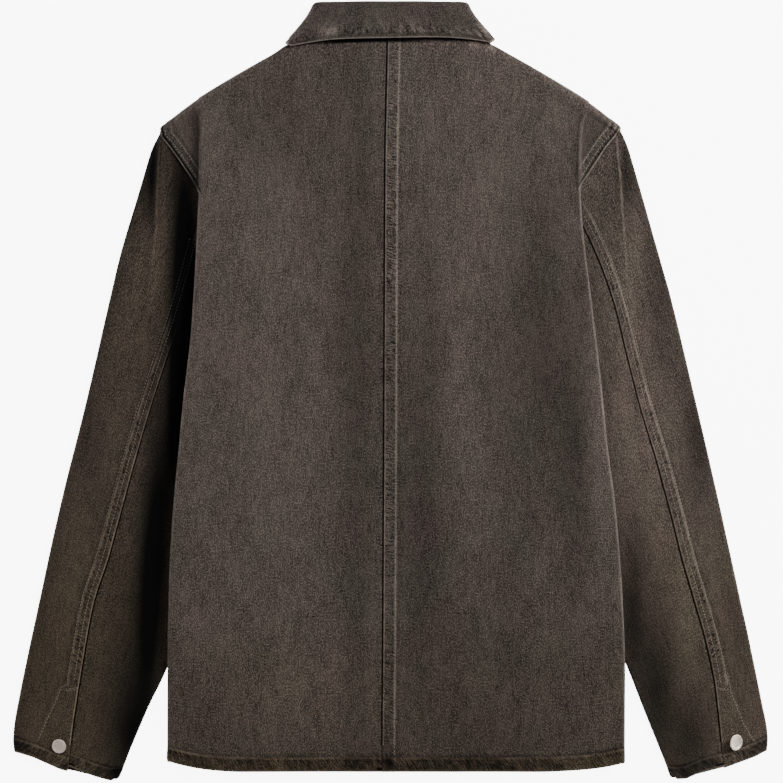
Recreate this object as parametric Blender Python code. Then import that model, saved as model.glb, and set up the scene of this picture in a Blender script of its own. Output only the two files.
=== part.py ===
import math

import bmesh
import bpy
import numpy as np

# A denim jacket laid face down. Lengths are in mm until a mesh is made: "out" runs from the jacket's
# middle to its side, y from hem to collar, z up from the surface it lies on.
mm = 0.001
cloth = 1.2             # one layer of denim
pressed = 2.0           # felled seams and turned hems
gap = 0.3
seamStep = 1.7          # from the middle of one layer to the middle of the next, where a seam holds them
fellWidth = 12.5
lap = 3.0               # what passes under a felled strip
hemTurn = 13.5
foldRadius = 2.4
shoulderRadius = 2.8
frontInset = 3.0        # the front folds this far inside the back
cuffLap = 18.0          # the vent's lower lap
frontLap = 15.0         # each front passes the middle by this
placketLift = 3.0       # the front buttons lie under the fronts
buttonWidth = 16.5
names = {"left": -1, "right": 1}

# side edge of the back, where it folds under
bodyEdge = np.array([
    # y, left out, right out
    (292, 194.0, 199.0), (270, 192.5, 192.5), (250, 191.7, 190.0), (200, 192.0, 189.4),
    (150, 194.0, 192.7), (90, 197.3, 200.0), (45, 200.7, 205.5), (8, 205.3, 209.7),
    (-50, 211.0, 215.4), (-120, 217.5, 224.5), (-185, 221.5, 229.7), (-276, 223.3, 234.0),
    (-369, 224.0, 234.0)])

# seam of sleeve and body, from the shoulder tip to the underarm, which the body hides below y = 200
armhole = np.array([
    # y, left out, right out
    (263.3, 231.5, 230.3), (254, 230.6, 224.6), (245, 223.2, 216.8), (233, 214.4, 208.7),
    (212, 200.0, 195.0), (198, 192.2, 185.8), (183.5, 184.5, 176.0), (145.5, 167.0, 160.0),
    (100.5, 144.0, 139.0), (68.5, 126.0, 124.0), (50.5, 114.0, 114.0)])

# side seam, at the inner end of the fold between back and front
sideSeam = np.array([
    # y, left out, right out
    (50.5, 114.0, 114.0), (36, 109.0, 109.0), (20, 111.0, 112.0), (0, 118.0, 120.0),
    (-50, 137.0, 141.0), (-110, 151.0, 157.0), (-200, 165.0, 174.0), (-276, 171.0, 182.0),
    (-369, 178.0, 188.0)])

# heights where back and front end, at the armhole and down the side seam, and how far (degrees) the
# walls have turned there; "steep" is how much further than straight to its end the back turns over
sideEnd = np.array([
    # y, back z, front z, turn, steep
    (263, 6.2, 0.6, 0, 0), (250, 7.4, 0.6, 0, 18), (238, 8.6, 0.6, 0, 30), (225, 10.4, 0.6, 0, 30),
    (212, 11.5, 1.2, 0, 20), (200, 12.0, 2.6, 90, 0), (185, 12.2, 3.6, 178, 0),
    (167, 12.2, 4.8, 178, 0), (142, 12.2, 5.6, 178, 0), (100, 12.1, 6.2, 178, 0),
    (50.5, 12.2, 6.2, 178, 0), (36, 9.6, 7.7, 125, 0), (-276, 9.6, 7.9, 120, 0),
    (-369, 7.75, 6.25, 150, 0)])

# slope of the cloth's rows past the body's edge, down the shoulder
rowSlope = np.array([(292, 0.78), (276, 0.54), (260, 0.36), (245, 0.2), (228, 0.07), (212, 0), (-369, 0)])

shoulder = np.array([
    # out, y
    (90, 352.5), (103, 345.2), (112, 340.4), (156, 315.5), (196, 290.6), (229, 265.6), (232, 263.0)])

backNeck = np.array([(-6, 356.0), (50, 354.5), (94, 349.9)])
frontNeck = np.array([(-15, 292.0), (0, 292.0), (22, 295.0), (50, 309.0), (75, 329.0), (94, 349.9)])
frontCollarEdge = np.array([(0, 250.0), (41, 252.0), (103, 347.0)])     # out, y

# middle of the back: the centre-back seam leans a little
backSeam = np.array([(348, -3.0), (281, -4.6), (230, -5.5), (-210, -7.5), (-379, -8.7)])     # y, x

# height of the back from the centre-back seam (0) to its edge (1): it sags between its thick sides
backHeight = {
    "left": np.array([
        # y, 0, 0.2, 0.4, 0.6, 0.8, 1
        (292, 8.6, 8.6, 8.5, 6.7, 6.2, 6.2), (250, 8.8, 8.4, 8.2, 8.8, 10.0, 12.5),
        (200, 9.5, 8.2, 8.8, 11.4, 15.4, 21.0), (130, 10.2, 8.5, 9.8, 14.6, 19.2, 23.5),
        (50, 10.5, 8.6, 11.2, 16.4, 20.6, 24.0), (-110, 10.2, 8.4, 10.2, 15.0, 19.4, 22.5),
        (-276, 9.8, 8.2, 9.2, 11.8, 15.5, 18.5), (-369, 9.2, 8.0, 8.6, 10.2, 12.0, 13.5)]),
    "right": np.array([
        # y, 0, 0.2, 0.4, 0.6, 0.8, 1
        (292, 8.6, 8.6, 8.5, 6.7, 6.2, 6.2), (250, 8.8, 9.6, 8.6, 8.8, 10.0, 12.0),
        (200, 9.5, 11.6, 10.0, 11.4, 15.4, 20.5), (130, 10.2, 12.6, 10.6, 13.6, 18.4, 23.0),
        (50, 10.5, 12.8, 11.4, 16.6, 20.4, 23.5), (-110, 10.2, 12.4, 10.2, 14.2, 18.6, 22.0),
        (-276, 9.8, 11.6, 9.6, 11.6, 14.6, 18.0), (-369, 9.2, 9.8, 8.6, 10.0, 11.6, 13.5)])}

sleeveOuter = np.array([
    # y, left out, right out
    (263.3, 231.5, 230.3), (255, 234.6, 234.0), (240, 240.0, 238.5), (190, 255.0, 253.0),
    (140, 270.0, 267.0), (90, 282.0, 281.0), (-10, 305.0, 305.0), (-110, 330.0, 328.0),
    (-210, 352.0, 350.0), (-310, 373.0, 371.0), (-350, 378.5, 377.5), (-362.5, 377.0, 376.5)])
sleeveInner = np.array([
    # y, left out, right out
    (51, 113.0, 113.0), (46, 123.0, 123.0), (38, 131.0, 131.0), (-10, 149.0, 150.0),
    (-60, 162.0, 165.0), (-110, 174.0, 179.0), (-210, 201.0, 208.0), (-276, 224.0, 236.5),
    (-320, 245.0, 254.0), (-376.5, 269.0, 277.0), (-387.5, 274.0, 281.0)])
sleeveSeam = np.array([
    # y, left out, right out
    (200, 174.5, 172.0), (180, 181.0, 184.0), (140, 192.0, 204.0), (90, 205.7, 222.7),
    (30, 225.5, 237.8), (-20, 241.8, 250.6), (-70, 256.4, 266.0), (-130, 272.8, 282.1),
    (-170, 283.7, 292.1), (-210, 297.0, 303.8), (-250, 305.0, 315.2), (-290, 311.6, 323.9),
    (-330, 317.8, 328.8), (-380, 324.5, 334.0)])
ventTop = -300
buttonPlace = {"left": (332.0, -355.8), "right": (344.3, -352.0)}       # out, y of the cuff buttons
cuffTilt = {"left": (6, -6), "right": (0, 24)}
frontButtons = 5
frontButtonStep = 90.0


def smooth(t):
    t = np.clip(t, 0.0, 1.0)
    return t * t * (3 - 2 * t)


def through(table, at, column=1):
    """A smooth curve through the table's rows, flat past its ends."""
    order = np.argsort(table[:, 0])
    x, v = table[order, 0], table[order, column]
    at = np.clip(at, x[0], x[-1])
    chord = np.diff(v) / np.diff(x)
    inner = np.where(chord[:-1] * chord[1:] > 0, (v[2:] - v[:-2]) / (x[2:] - x[:-2]), 0.0)
    limit = 3 * np.minimum(abs(chord[:-1]), abs(chord[1:]))
    slope = np.concatenate([[chord[0]], np.clip(inner, -limit, limit), [chord[-1]]])
    i = np.clip(np.searchsorted(x, at, side="right") - 1, 0, len(x) - 2)
    h = x[i + 1] - x[i]
    t = (at - x[i]) / h
    return (v[i] * (1 + 2 * t) * (1 - t) ** 2 + slope[i] * h * t * (1 - t) ** 2
            + v[i + 1] * t * t * (3 - 2 * t) + slope[i + 1] * h * t * t * (t - 1))


def side(table, name, y):
    return through(table, y, 1 if name == "left" else 2)


def seamOut(name, y):
    return names[name] * through(backSeam, y)


def hemY(u):
    """The hem is level across the middle and rises to the side folds."""
    return -380.6 + 12 * np.clip((u - 0.62) / 0.38, 0, 1) ** 2.2


def backZ(name, u, y):
    table = backHeight[name]
    stations = np.linspace(0, 1, 6)
    across = np.array([through(table, y, c) for c in range(1, 7)])
    return float(through(np.column_stack([stations, across]), u))


def placket(out):
    return smooth((46 - abs(out)) / 20)


def frontZ(name, out, y):
    """The fronts lie on the floor, but for the collar and the buttons beneath them."""
    edge = np.interp(abs(out), frontCollarEdge[:, 0], frontCollarEdge[:, 1])
    overCollar = smooth((y - edge + 28) / 16)
    lift = placketLift * max(placket(out), overCollar)
    upper = seamStep * smooth((30 - out) / 12) if name == "right" else 0
    return cloth / 2 + lift + upper


def frontFold(name, y):
    """The front's side fold starts at the armhole, and lies inside the back's."""
    edge = side(bodyEdge, name, y) - cloth / 2
    return edge - frontInset * smooth((196 - y) / 24)


def foldedRun(out, z, radius, extra, endOut, endZ, endTurn, down, arcSteps, runSteps):
    """Section of a wall that turns over a fold and runs to its end. down is 1 or -1."""
    centreZ = z - down * radius
    ex, ez = endOut - out, down * (endZ - centreZ)
    turn = math.asin(min(1.0, radius / math.hypot(ex, ez))) - math.atan2(ez, ex)
    turn = min(max(turn, 0.0) + (math.radians(extra) if turn > 0.02 else 0.0), math.radians(179))
    a = np.linspace(0, turn, 24)
    arc = np.column_stack([out + radius * np.sin(a), centreZ + down * radius * np.cos(a)])
    p0, p1 = arc[-1], np.array([endOut, endZ])
    reach = np.linalg.norm(p1 - p0)
    last = math.radians(endTurn)
    t0 = reach * np.array([math.cos(turn), -down * math.sin(turn)])
    pull = min(0.4 * reach, 9.0) if endTurn > 5 else reach
    t1 = pull * np.array([math.cos(last), -down * math.sin(last)])
    t = np.linspace(0, 1, 40)[1:, None]
    run = ((1 + 2 * t) * (1 - t) ** 2 * p0 + t * (1 - t) ** 2 * t0
           + t * t * (3 - 2 * t) * p1 + t * t * (t - 1) * t1)
    line = np.vstack([arc, run])
    length = np.concatenate([[0], np.cumsum(np.linalg.norm(np.diff(line, axis=0), axis=1))])
    arcLength = max(radius * turn, 0.16 * length[-1])
    places = np.concatenate([np.linspace(0, arcLength, arcSteps + 1),
                             np.linspace(arcLength, length[-1], runSteps + 1)[1:]])
    return np.column_stack([np.interp(places, length, line[:, k]) for k in (0, 1)])


def endOfRow(name, y, foldOut):
    """Where a row that passes the fold at y ends: on the armhole, or on the side seam."""
    if y <= 50.5:
        return side(sideSeam, name, y), y
    slope = through(rowSlope, y)
    endY = y
    for _ in range(40):
        endOut = side(armhole, name, endY)
        endY = 0.5 * endY + 0.5 * (y - slope * max(0.0, endOut - foldOut))
    return side(armhole, name, endY), endY


def panelRows(name, layer, rows, mainColumns, arcSteps, runSteps):
    """Points of a back or a front: the shoulder's turned edge, then a row for each height at the fold."""
    isBack = layer == "back"
    down = 1 if isBack else -1
    topY, bottomY = rows[0], rows[-1]
    grid = []
    for k, y in enumerate([topY, topY] + list(rows)):
        turned = max(0, 2 - k)                  # 2 on the shoulder's very edge, 1 on its bend
        f = (topY - y) / (topY - bottomY)
        foldOut = side(bodyEdge, name, y) - cloth / 2 if isBack else frontFold(name, y)
        endOut, endY = endOfRow(name, y, foldOut)
        endZ = through(sideEnd, endY, 1 if isBack else 2)
        endTurn = through(sideEnd, endY, 3)
        if y > 60:
            beyond = (endOut - foldOut) / (16 if isBack else 5)
            endTurn = min(178.0, 90 * (1 - float(np.clip(beyond, -1, 1))))
        extra = through(sideEnd, endY, 4) if isBack else 8 * (y < 60)
        radius = foldRadius
        if not isBack:
            radius = float(np.clip((endZ - cloth / 2) / 2, 1.0, foldRadius))
        if k <= 2:
            foldOut, endOut, endTurn = side(bodyEdge, name, topY), side(armhole, name, 300), 0
        columns = []
        last = foldOut - radius
        for u, offset in mainColumns:
            topStart = seamOut(name, topY) + offset if isBack else -frontLap
            topOut = topStart + u * (side(bodyEdge, name, topY) - cloth / 2 - foldRadius - topStart)
            rowTop = through(backNeck if isBack else frontNeck, topOut)
            if topOut > 92:
                rowTop = through(shoulder, topOut) - (cloth / 2 + shoulderRadius) / 0.84
            yy = rowTop + f * (hemY(u) - rowTop)
            start = seamOut(name, yy) if isBack else -frontLap
            reach = (side(bodyEdge, name, yy) - cloth / 2 if isBack else frontFold(name, yy)) - radius
            if k <= 2:
                reach = last
            out = start + offset + u * (reach - start - offset)
            z = backZ(name, u, yy) if isBack else frontZ(name, out, yy)
            columns.append((out, yy, z))
        z = columns[-1][2]
        if k <= 2:
            endZ = z
        for out, zz in foldedRun(last, z, radius, extra, endOut, endZ, endTurn, down,
                                 arcSteps, runSteps)[1:]:
            if k <= 2:
                yy = through(shoulder, out) - (cloth / 2 + shoulderRadius) / 0.84
            else:
                yy = y - through(rowSlope, y) * max(0.0, out - last - radius)
            columns.append((out, yy, zz))
        if turned:
            columns = [turnEdge(p, turned, isBack) for p in columns]
        grid.append(columns)
    return np.array(grid)


def turnEdge(point, turned, isBack):
    """A point of the top row carried over the shoulder's edge; the neck's edge stays flat."""
    out, y, z = point
    down = 1 if isBack else -1
    if out < 92:
        return out, y + (0.6 if turned == 1 else 1.4), z
    middle = 3.4 + 2.35 * smooth((165 - out) / 66)
    radius = abs(z - middle)
    a = math.radians(45 * turned)
    edge = y + (shoulderRadius + cloth / 2) / 0.84
    inset = cloth / 2 + radius * (1 - math.sin(a))
    height = middle + down * max(radius * math.cos(a), 0.5)
    return out, edge - inset / 0.84, height


def sheet(name, grid, thickness, sign, material):
    """A closed wall of cloth on a grid of its middle points, thickness given for each point."""
    grid, thickness = np.asarray(grid, float), np.asarray(thickness, float)
    rows, columns = grid.shape[:2]
    thickness = np.broadcast_to(thickness, (rows, columns))
    bm = bmesh.new()
    bmesh.ops.create_grid(bm, x_segments=columns - 1, y_segments=rows - 1, size=0.5)
    weight = bm.verts.layers.deform.verify()
    thickest = float(thickness.max())
    for vert in bm.verts:
        j = round((vert.co.x + 0.5) * (columns - 1))
        i = round((vert.co.y + 0.5) * (rows - 1))
        out, y, z = grid[i, j]
        vert.co = (sign * out * mm, y * mm, z * mm)
        vert[weight][0] = float(thickness[i, j]) / thickest
    mesh = bpy.data.meshes.new(name)
    bm.to_mesh(mesh)
    bm.free()
    thing = bpy.data.objects.new(name, mesh)
    bpy.context.collection.objects.link(thing)
    thing.vertex_groups.new(name="thickness")
    wall = thing.modifiers.new("wall", "SOLIDIFY")
    wall.thickness = thickest * mm
    wall.offset = 0
    wall.vertex_group = "thickness"
    wall.thickness_vertex_group = 0.0
    mesh.materials.append(material)
    mesh.shade_smooth()
    return thing


def denim(name, colour):
    material = bpy.data.materials.new(name)
    material.use_nodes = True
    shader = material.node_tree.nodes["Principled BSDF"]
    shader.inputs["Base Color"].default_value = (*colour, 1)
    shader.inputs["Roughness"].default_value = 0.9
    return material


backRowsY = [292, 276, 260, 245, 228, 212, 200, 188, 172, 148, 118, 85, 50.5, 36, 0, -50, -110, -170,
             -230, -276, -320, -369 + hemTurn, -369 + hemTurn - 1, -369]
frontRowsY = [292, 268, 248, 228, 212, 200, 188, 172, 148, 100, 50.5, 36, -10, -80, -160, -230, -300,
              -369 + hemTurn, -369]


def makeBack(name, material):
    isRight = name == "right"
    spread = [0.09, 0.2, 0.3, 0.4, 0.485, 0.55, 0.64, 0.73, 0.82, 0.91, 1.0]
    if isRight:         # the felled strip, and the step down from it
        step = fellWidth + 0.9
        main = [(0, 0), (0, fellWidth), (0, step)] + [(u, step * (1 - u)) for u in spread]
    else:               # its edge passes under the other half's strip
        main = [(0, -lap), (0, 0.4), (0, 3.0)] + [(u, 3.0 * (1 - u)) for u in spread]
    grid = panelRows(name, "back", backRowsY, main, 5, 5)
    thickness = np.full(grid.shape[:2], cloth)
    thickness[-2:, 2:len(main)] = pressed           # the turned hem
    grid[-2:, 2:len(main), 2] += (pressed - cloth) / 2
    if isRight:
        grid[:, :2, 2] += (pressed - cloth) / 2
        thickness[:, :2] = pressed
    else:
        grid[:, :2, 2] -= seamStep + 0.1
    return sheet(f"back_{name}", grid, thickness, names[name], material)


def makeFront(name, material):
    main = [(u, 0) for u in (0, 0.065, 0.13, 0.2, 0.28, 0.37, 0.45, 0.519, 0.6, 0.73, 0.87, 1.0)]
    grid = panelRows(name, "front", frontRowsY, main, 5, 4)
    thickness = np.full(grid.shape[:2], cloth)
    return sheet(f"front_{name}", grid, thickness, names[name], material)


def alongArmhole(name, u):
    """Points of the armhole's seam, a share u of the way from shoulder tip to underarm."""
    y = np.linspace(263.3, 50.5, 240)
    out = side(armhole, name, y)
    length = np.concatenate([[0], np.cumsum(np.hypot(np.diff(out), np.diff(y)))])
    at = u * length[-1]
    return np.interp(at, length, out), np.interp(at, length, y)


def sleeveRoot(name, u):
    """The sleeve's edge lies just inside the armhole, under the body's."""
    start = np.clip(u, 0, 0.99)
    out0, y0 = alongArmhole(name, start)
    out1, y1 = alongArmhole(name, start + 0.01)
    length = np.hypot(out1 - out0, y1 - y0)
    out, y = alongArmhole(name, u)
    return (out + 2.2 * (y1 - y0) / length,
            y - 2.2 * (out1 - out0) / length - 1.5 * (1 - smooth(u * 20)))


def sleeveEdge(name, table, start, v):
    """The sleeve's outer or inner edge, which starts at its root's end."""
    y = start[1] + v * (table[-1, 0] - start[1])
    shift = (1 - smooth(v * 25)) * (start[0] - side(table, name, start[1]))
    return side(table, name, y) + shift, y


def sleevePlan(name, u, v):
    """The sleeve seen from above: u from its outer edge to its inner one, v from armhole to cuff."""
    root = sleeveRoot(name, u)
    root0, root1 = sleeveRoot(name, 0.0), sleeveRoot(name, 1.0)
    outer, inner = sleeveEdge(name, sleeveOuter, root0, v), sleeveEdge(name, sleeveInner, root1, v)
    cuff0, cuff1 = sleeveEdge(name, sleeveOuter, root0, 1.0), sleeveEdge(name, sleeveInner, root1, 1.0)
    return [(1 - u) * outer[k] + u * inner[k] + (1 - v) * root[k] + v * (cuff0[k] + u * (cuff1[k] - cuff0[k]))
            - (1 - u) * (1 - v) * root0[k] - u * (1 - v) * root1[k]
            - (1 - u) * v * cuff0[k] - u * v * cuff1[k] for k in (0, 1)]


def sleeveLevels(name, u, v):
    """Heights of the sleeve's under and upper wall; it lies on the front's fold beside the body."""
    out, y = sleevePlan(name, u, v)
    fold = side(bodyEdge, name, y)
    over = smooth((fold + 34 - out) / 30) * smooth((236 - y) / 68) * (1 - smooth((-284 - y) / 70))
    low = cloth / 2 + 6.9 * over
    puff = 4.2 + 3.6 * np.sin(math.pi * np.clip(u, 0, 1)) ** 0.8
    thick = (puff * (1 - over) + 3.4 * over) * (1 - 0.25 * smooth((v - 0.85) / 0.15))
    high = low + thick
    rootY = alongArmhole(name, u)[1]
    near = 1 - smooth(v * 640 / 34)
    low = low + near * (through(sideEnd, rootY, 2) + seamStep - low)
    high = high + near * (through(sideEnd, rootY, 1) - seamStep - high)
    return low, high


def sleeveWidth(name, v):
    outer, inner = sleevePlan(name, 0.0, v), sleevePlan(name, 1.0, v)
    return np.hypot(inner[0] - outer[0], inner[1] - outer[1])


def seamShare(name, v):
    """Share u at which each row v crosses the visible back seam."""
    low, high = np.zeros_like(v), np.ones_like(v)
    for _ in range(30):
        u = (low + high) / 2
        out, y = sleevePlan(name, u, v)
        outside = out > side(sleeveSeam, name, y)
        low, high = np.where(outside, u, low), np.where(outside, high, u)
    return (low + high) / 2


def sleeveFlat(name, v, distance, onTop):
    """A column of the flat sleeve, a distance in from its outer fold, on its upper or under wall."""
    u = distance / sleeveWidth(name, v)
    out, y = sleevePlan(name, u, v)
    low, high = sleeveLevels(name, u, v)
    return np.column_stack([out, y, high if onTop else low])


def sleeveBend(name, v, fromInner, degrees):
    """A column on one of the sleeve's folds, 90 degrees at its top and -90 beneath."""
    low, high = sleeveLevels(name, 1.0 if fromInner else 0.0, v)
    angle = math.radians(degrees)
    u = (high - low) / 2 * (1 - math.cos(angle)) / sleeveWidth(name, v)
    if fromInner:
        u = 1 - u
    out, y = sleevePlan(name, u, v)
    low, high = sleeveLevels(name, u, v)
    return np.column_stack([out, y, (low + high) / 2 + (high - low) / 2 * math.sin(angle)])


sleeveRows = np.array([0, 0.006, 0.014, 0.03, 0.055, 0.09, 0.14, 0.2, 0.27, 0.35, 0.44, 0.52, 0.6, 0.68,
                       0.75, 0.81, 0.86, 0.905, 0.945, 0.978, 1])
bends = (90, 54, 18, -18, -54, -90)
hiddenSeam = 26.0       # how far in from the inner fold the seam beneath runs


def makeSleeveTop(name, material):
    """The outer part: from the back seam round the outer fold to the seam beneath."""
    v = sleeveRows
    width = sleeveWidth(name, v)
    seam = seamShare(name, v) * width
    low, high = sleeveLevels(name, 0.0, v)
    radius = (high - low) / 2
    columns = [sleeveFlat(name, v, seam - np.minimum(step, seam * 0.6), True)
               for step in (0, fellWidth, fellWidth + 0.9)]
    start = seam - np.minimum(fellWidth + 0.9, seam * 0.6)
    columns += [sleeveFlat(name, v, radius + share * (start - radius), True)
                for share in (0.84, 0.68, 0.52, 0.36, 0.24, 0.12)]
    columns += [sleeveBend(name, v, False, angle) for angle in bends]
    end = width - hiddenSeam
    columns += [sleeveFlat(name, v, radius + share * (end - radius), False)
                for share in (0.12, 0.25, 0.4, 0.6, 0.8, 1)]
    grid = np.stack(columns, axis=1)
    thickness = np.full(grid.shape[:2], cloth)
    raised = smooth(v * 640 / 90)[:, None]
    grid[:, :2, 2] += 0.85 * raised
    thickness[:, :2] += (1.7 - cloth) * raised
    return sheet(f"sleeve_top_{name}", grid, thickness, names[name], material)


def makeSleeveUnder(name, material):
    """The inner part: from under the back seam's strip round the inner fold to the seam beneath."""
    v = sleeveRows
    width = sleeveWidth(name, v)
    seam = seamShare(name, v) * width
    low, high = sleeveLevels(name, 1.0, v)
    last = width - (high - low) / 2
    y = sleevePlan(name, seam / width, v)[1]
    inVent = smooth((ventTop + 6 - y) / 12)
    reach = lap + (cuffLap - lap) * inVent
    columns = [sleeveFlat(name, v, seam - reach, True), sleeveFlat(name, v, seam + 0.4, True),
               sleeveFlat(name, v, seam + 3.0, True)]
    columns += [sleeveFlat(name, v, seam + 3 + share * (last - seam - 3), True) for share in (0.25, 0.5, 0.75)]
    columns += [sleeveBend(name, v, True, angle) for angle in bends]
    columns.append(sleeveFlat(name, v, width - hiddenSeam + gap, False))
    grid = np.stack(columns, axis=1)
    near = 1 - smooth(v * 640 / 90)
    grid[:, :2, 2] -= (1.0 + 0.6 * np.maximum(near, inVent))[:, None]
    return sheet(f"sleeve_under_{name}", grid, cloth, names[name], material)


# the collar is one flat ring round the neck: fall and stand on the back, and both again beneath
fallWall = 1.8
rollCorner, edgeCorner = np.array([77.5, 387.5]), np.array([102.5, 347.0])      # of its side folds
rollEnd, collarPoint = np.array([4.0, 309.0]), np.array([41.0, 253.0])          # at the front
fallEdge = np.array([
    # x, y of the fall's lower edge across the back
    (-100, 347.6), (-92, 349.8), (-60, 351.3), (0, 352.4), (60, 353.4), (88, 352.8), (100, 349.4)])
rollUnder = 6.0         # how far the fall turns in under the roll line, to the stand's edge
standEnd = 38.0         # the stand's height at the side folds


def ringLevels(rho, x, isRight, share):
    """Heights of the ring's back and front: rho 0 on the stand, 1 on the fall."""
    top = 8.6 - 0.7 * smooth((abs(x) - 50) / 40) + rho * (3.0 + 1.4 * share)
    upper = seamStep * smooth((30 - abs(x)) / 12) if isRight else 0.0
    bottom = 3.6 + upper - rho * (2.4 + upper)
    return top, bottom


def ringSide(c, rho, isRight):
    """The side fold at a distance c down from the roll line: its middle in plan, and its radius."""
    c = c * (0.9 if isRight else 0.94)
    down = (edgeCorner - rollCorner) / np.linalg.norm(edgeCorner - rollCorner)
    outward = np.array([-down[1], down[0]])
    top, bottom = ringLevels(rho, 100, False, c / 47 * rho)
    radius = (top - bottom) / 2
    fold = rollCorner + c * down - outward * (fallWall / 2 + (1 - rho) * 2.9)
    return fold - outward * radius, outward, top, bottom, radius


def ringPoint(station, kind, c, rho, backY, frontPlan):
    """A point of the ring; station runs -1..1 along the back, 0..1 along a front, or is an angle."""
    isRight = kind.endswith("right") or (kind == "back" and station > 0)
    middle, outward, top, bottom, radius = ringSide(c, rho, isRight)
    share = c / 47
    if kind == "back":
        x = station * middle[0]
        y = middle[1] + (backY(x) - middle[1]) * (1 - abs(station) ** 4)
        z = ringLevels(rho, x, False, share)[0]
        z = z + (top - z) * abs(station) ** 4
        return x, y, z
    sign = 1 if isRight else -1
    if kind.startswith("side"):
        a = math.radians(station)
        plan = middle + outward * radius * math.cos(a)
        return sign * plan[0], plan[1], (top + bottom) / 2 + radius * math.sin(a)
    plan = middle + station * (frontPlan - middle)
    return sign * plan[0], plan[1], ringLevels(rho, plan[0], sign > 0, share)[1]


ringStations = ([("front left", t) for t in (1.0, 0.85, 0.7, 0.5, 0.3, 0.15, 0.0)]
                + [("side left", a) for a in (-60, -30, 0, 30, 60)]
                + [("back", t) for t in (-1, -0.85, -0.65, -0.4, -0.15, 0.15, 0.4, 0.65, 0.85, 1)]
                + [("side right", a) for a in (60, 30, 0, -30, -60)]
                + [("front right", t) for t in (0.0, 0.15, 0.3, 0.5, 0.7, 0.85, 1.0)])


def makeFall(material):
    """From the stand's upper edge over the roll line and down to the fall's own edge."""
    rollRadius = 1.5
    profile = [(rollUnder, 0.0), (3.5, 0.0), (rollRadius, 0.0)]
    profile += [(rollRadius * (1 - math.sin(math.radians(a))), 0.5 - 0.5 * math.cos(math.radians(a)))
                for a in (45, 90, 135)]
    profile += [(rollRadius, 1.0), (8.0, 1.0), (17.0, 1.0), (27.0, 1.0), (37.0, 1.0), (47.0, 1.0)]
    grid = []
    for c, rho in profile:
        share = c / 47

        def backY(x):
            rollY = 389.2 - fallWall / 2 - 1.2 * (x / 78) ** 4
            return rollY + share * (through(fallEdge, x) - rollY)

        frontPlan = rollEnd + share * (collarPoint - rollEnd)
        grid.append([ringPoint(t, kind, c, rho, backY, frontPlan) for kind, t in ringStations])
    return sheet("collar_fall", grid, fallWall, 1, material)


def makeStand(material):
    """From the neck's seam up to the fall's inner edge, just under the roll line."""
    grid = []
    for share in (0, 0.33, 0.67, 1):
        c = rollUnder + gap + share * (standEnd - rollUnder - gap)

        def backY(x):
            upper = 389.2 - fallWall / 2 - (rollUnder + gap) * 0.8
            return upper + share * (through(backNeck, abs(x)) + 2.6 - upper)

        inner = rollEnd + (rollUnder + gap) / 47 * (collarPoint - rollEnd)
        row = []
        for kind, t in ringStations:
            frontPlan = inner + share * (np.array([4.0, 296.2]) - inner)
            x, y, z = ringPoint(t, kind, c, 0.0, backY, frontPlan)
            if kind.startswith("front") and share == 1:
                y = max(y, through(frontNeck, abs(x)) + 4.2)
            row.append((x, y, z))
        grid.append(row)
    return sheet("collar_stand", grid, cloth, 1, material)


def metal(name, colour):
    material = bpy.data.materials.new(name)
    material.use_nodes = True
    shader = material.node_tree.nodes["Principled BSDF"]
    shader.inputs["Base Color"].default_value = (*colour, 1)
    shader.inputs["Metallic"].default_value = 1
    shader.inputs["Roughness"].default_value = 0.35
    return material


def makeButton(name, place, tilt, faceDown, material):
    """A turned metal button on its short shank; place is the shank's foot."""
    r = buttonWidth / 2
    profile = [(0, 0), (2.4, 0), (2.4, 0.9), (r - 0.6, 0.9), (r, 1.5), (r - 0.6, 2.5), (r - 1.8, 2.3),
               (0, 2.6)]
    bm = bmesh.new()
    ring = [bm.verts.new((x * mm, 0, z * mm)) for x, z in profile]
    edges = [bm.edges.new(pair) for pair in zip(ring, ring[1:])]
    bmesh.ops.spin(bm, geom=ring + edges, cent=(0, 0, 0), axis=(0, 0, 1), angle=2 * math.pi, steps=18,
                   use_merge=True)
    bmesh.ops.remove_doubles(bm, verts=bm.verts, dist=1e-6)
    bmesh.ops.recalc_face_normals(bm, faces=bm.faces)
    mesh = bpy.data.meshes.new(name)
    bm.to_mesh(mesh)
    bm.free()
    mesh.materials.append(material)
    mesh.shade_smooth()
    mesh.set_sharp_from_angle(angle=math.radians(35))
    thing = bpy.data.objects.new(name, mesh)
    bpy.context.collection.objects.link(thing)
    thing.location = [value * mm for value in place]
    thing.rotation_euler = (math.radians(tilt[0] + (180 if faceDown else 0)), math.radians(tilt[1]), 0)
    return thing


def sleeveTopZ(name, out, y):
    """Height of the upper wall's middle at a place in plan."""
    u, v = np.meshgrid(np.linspace(0.02, 0.98, 60), np.linspace(0.85, 1, 40))
    plan = sleevePlan(name, u, v)
    k = np.argmin((plan[0] - out) ** 2 + (plan[1] - y) ** 2)
    return float(sleeveLevels(name, u, v)[1].flat[k])


for thing in list(bpy.data.objects):
    bpy.data.objects.remove(thing)
body = denim("denim", (0.045, 0.038, 0.034))
pewter = metal("pewter", (0.55, 0.53, 0.5))
for name in names:
    makeBack(name, body)
    makeFront(name, body)
    makeSleeveTop(name, body)
    makeSleeveUnder(name, body)
makeFall(body)
makeStand(body)
for name, (out, y) in buttonPlace.items():
    lift = cloth / 2 + gap + (0.4 if name == "left" else 1.3)
    z = sleeveTopZ(name, out, y) + lift + 0.85
    makeButton(f"cuff_button_{name}", (names[name] * out, y, z), cuffTilt[name], False, pewter)
for k in range(frontButtons):
    makeButton(f"front_button_{k + 1}", (0, 272 - k * frontButtonStep, 2.65), (0, 0), True, pewter)
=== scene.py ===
import math

import bmesh
import bpy
import numpy as np
from mathutils import Matrix, Vector
from mathutils.kdtree import KDTree


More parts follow.
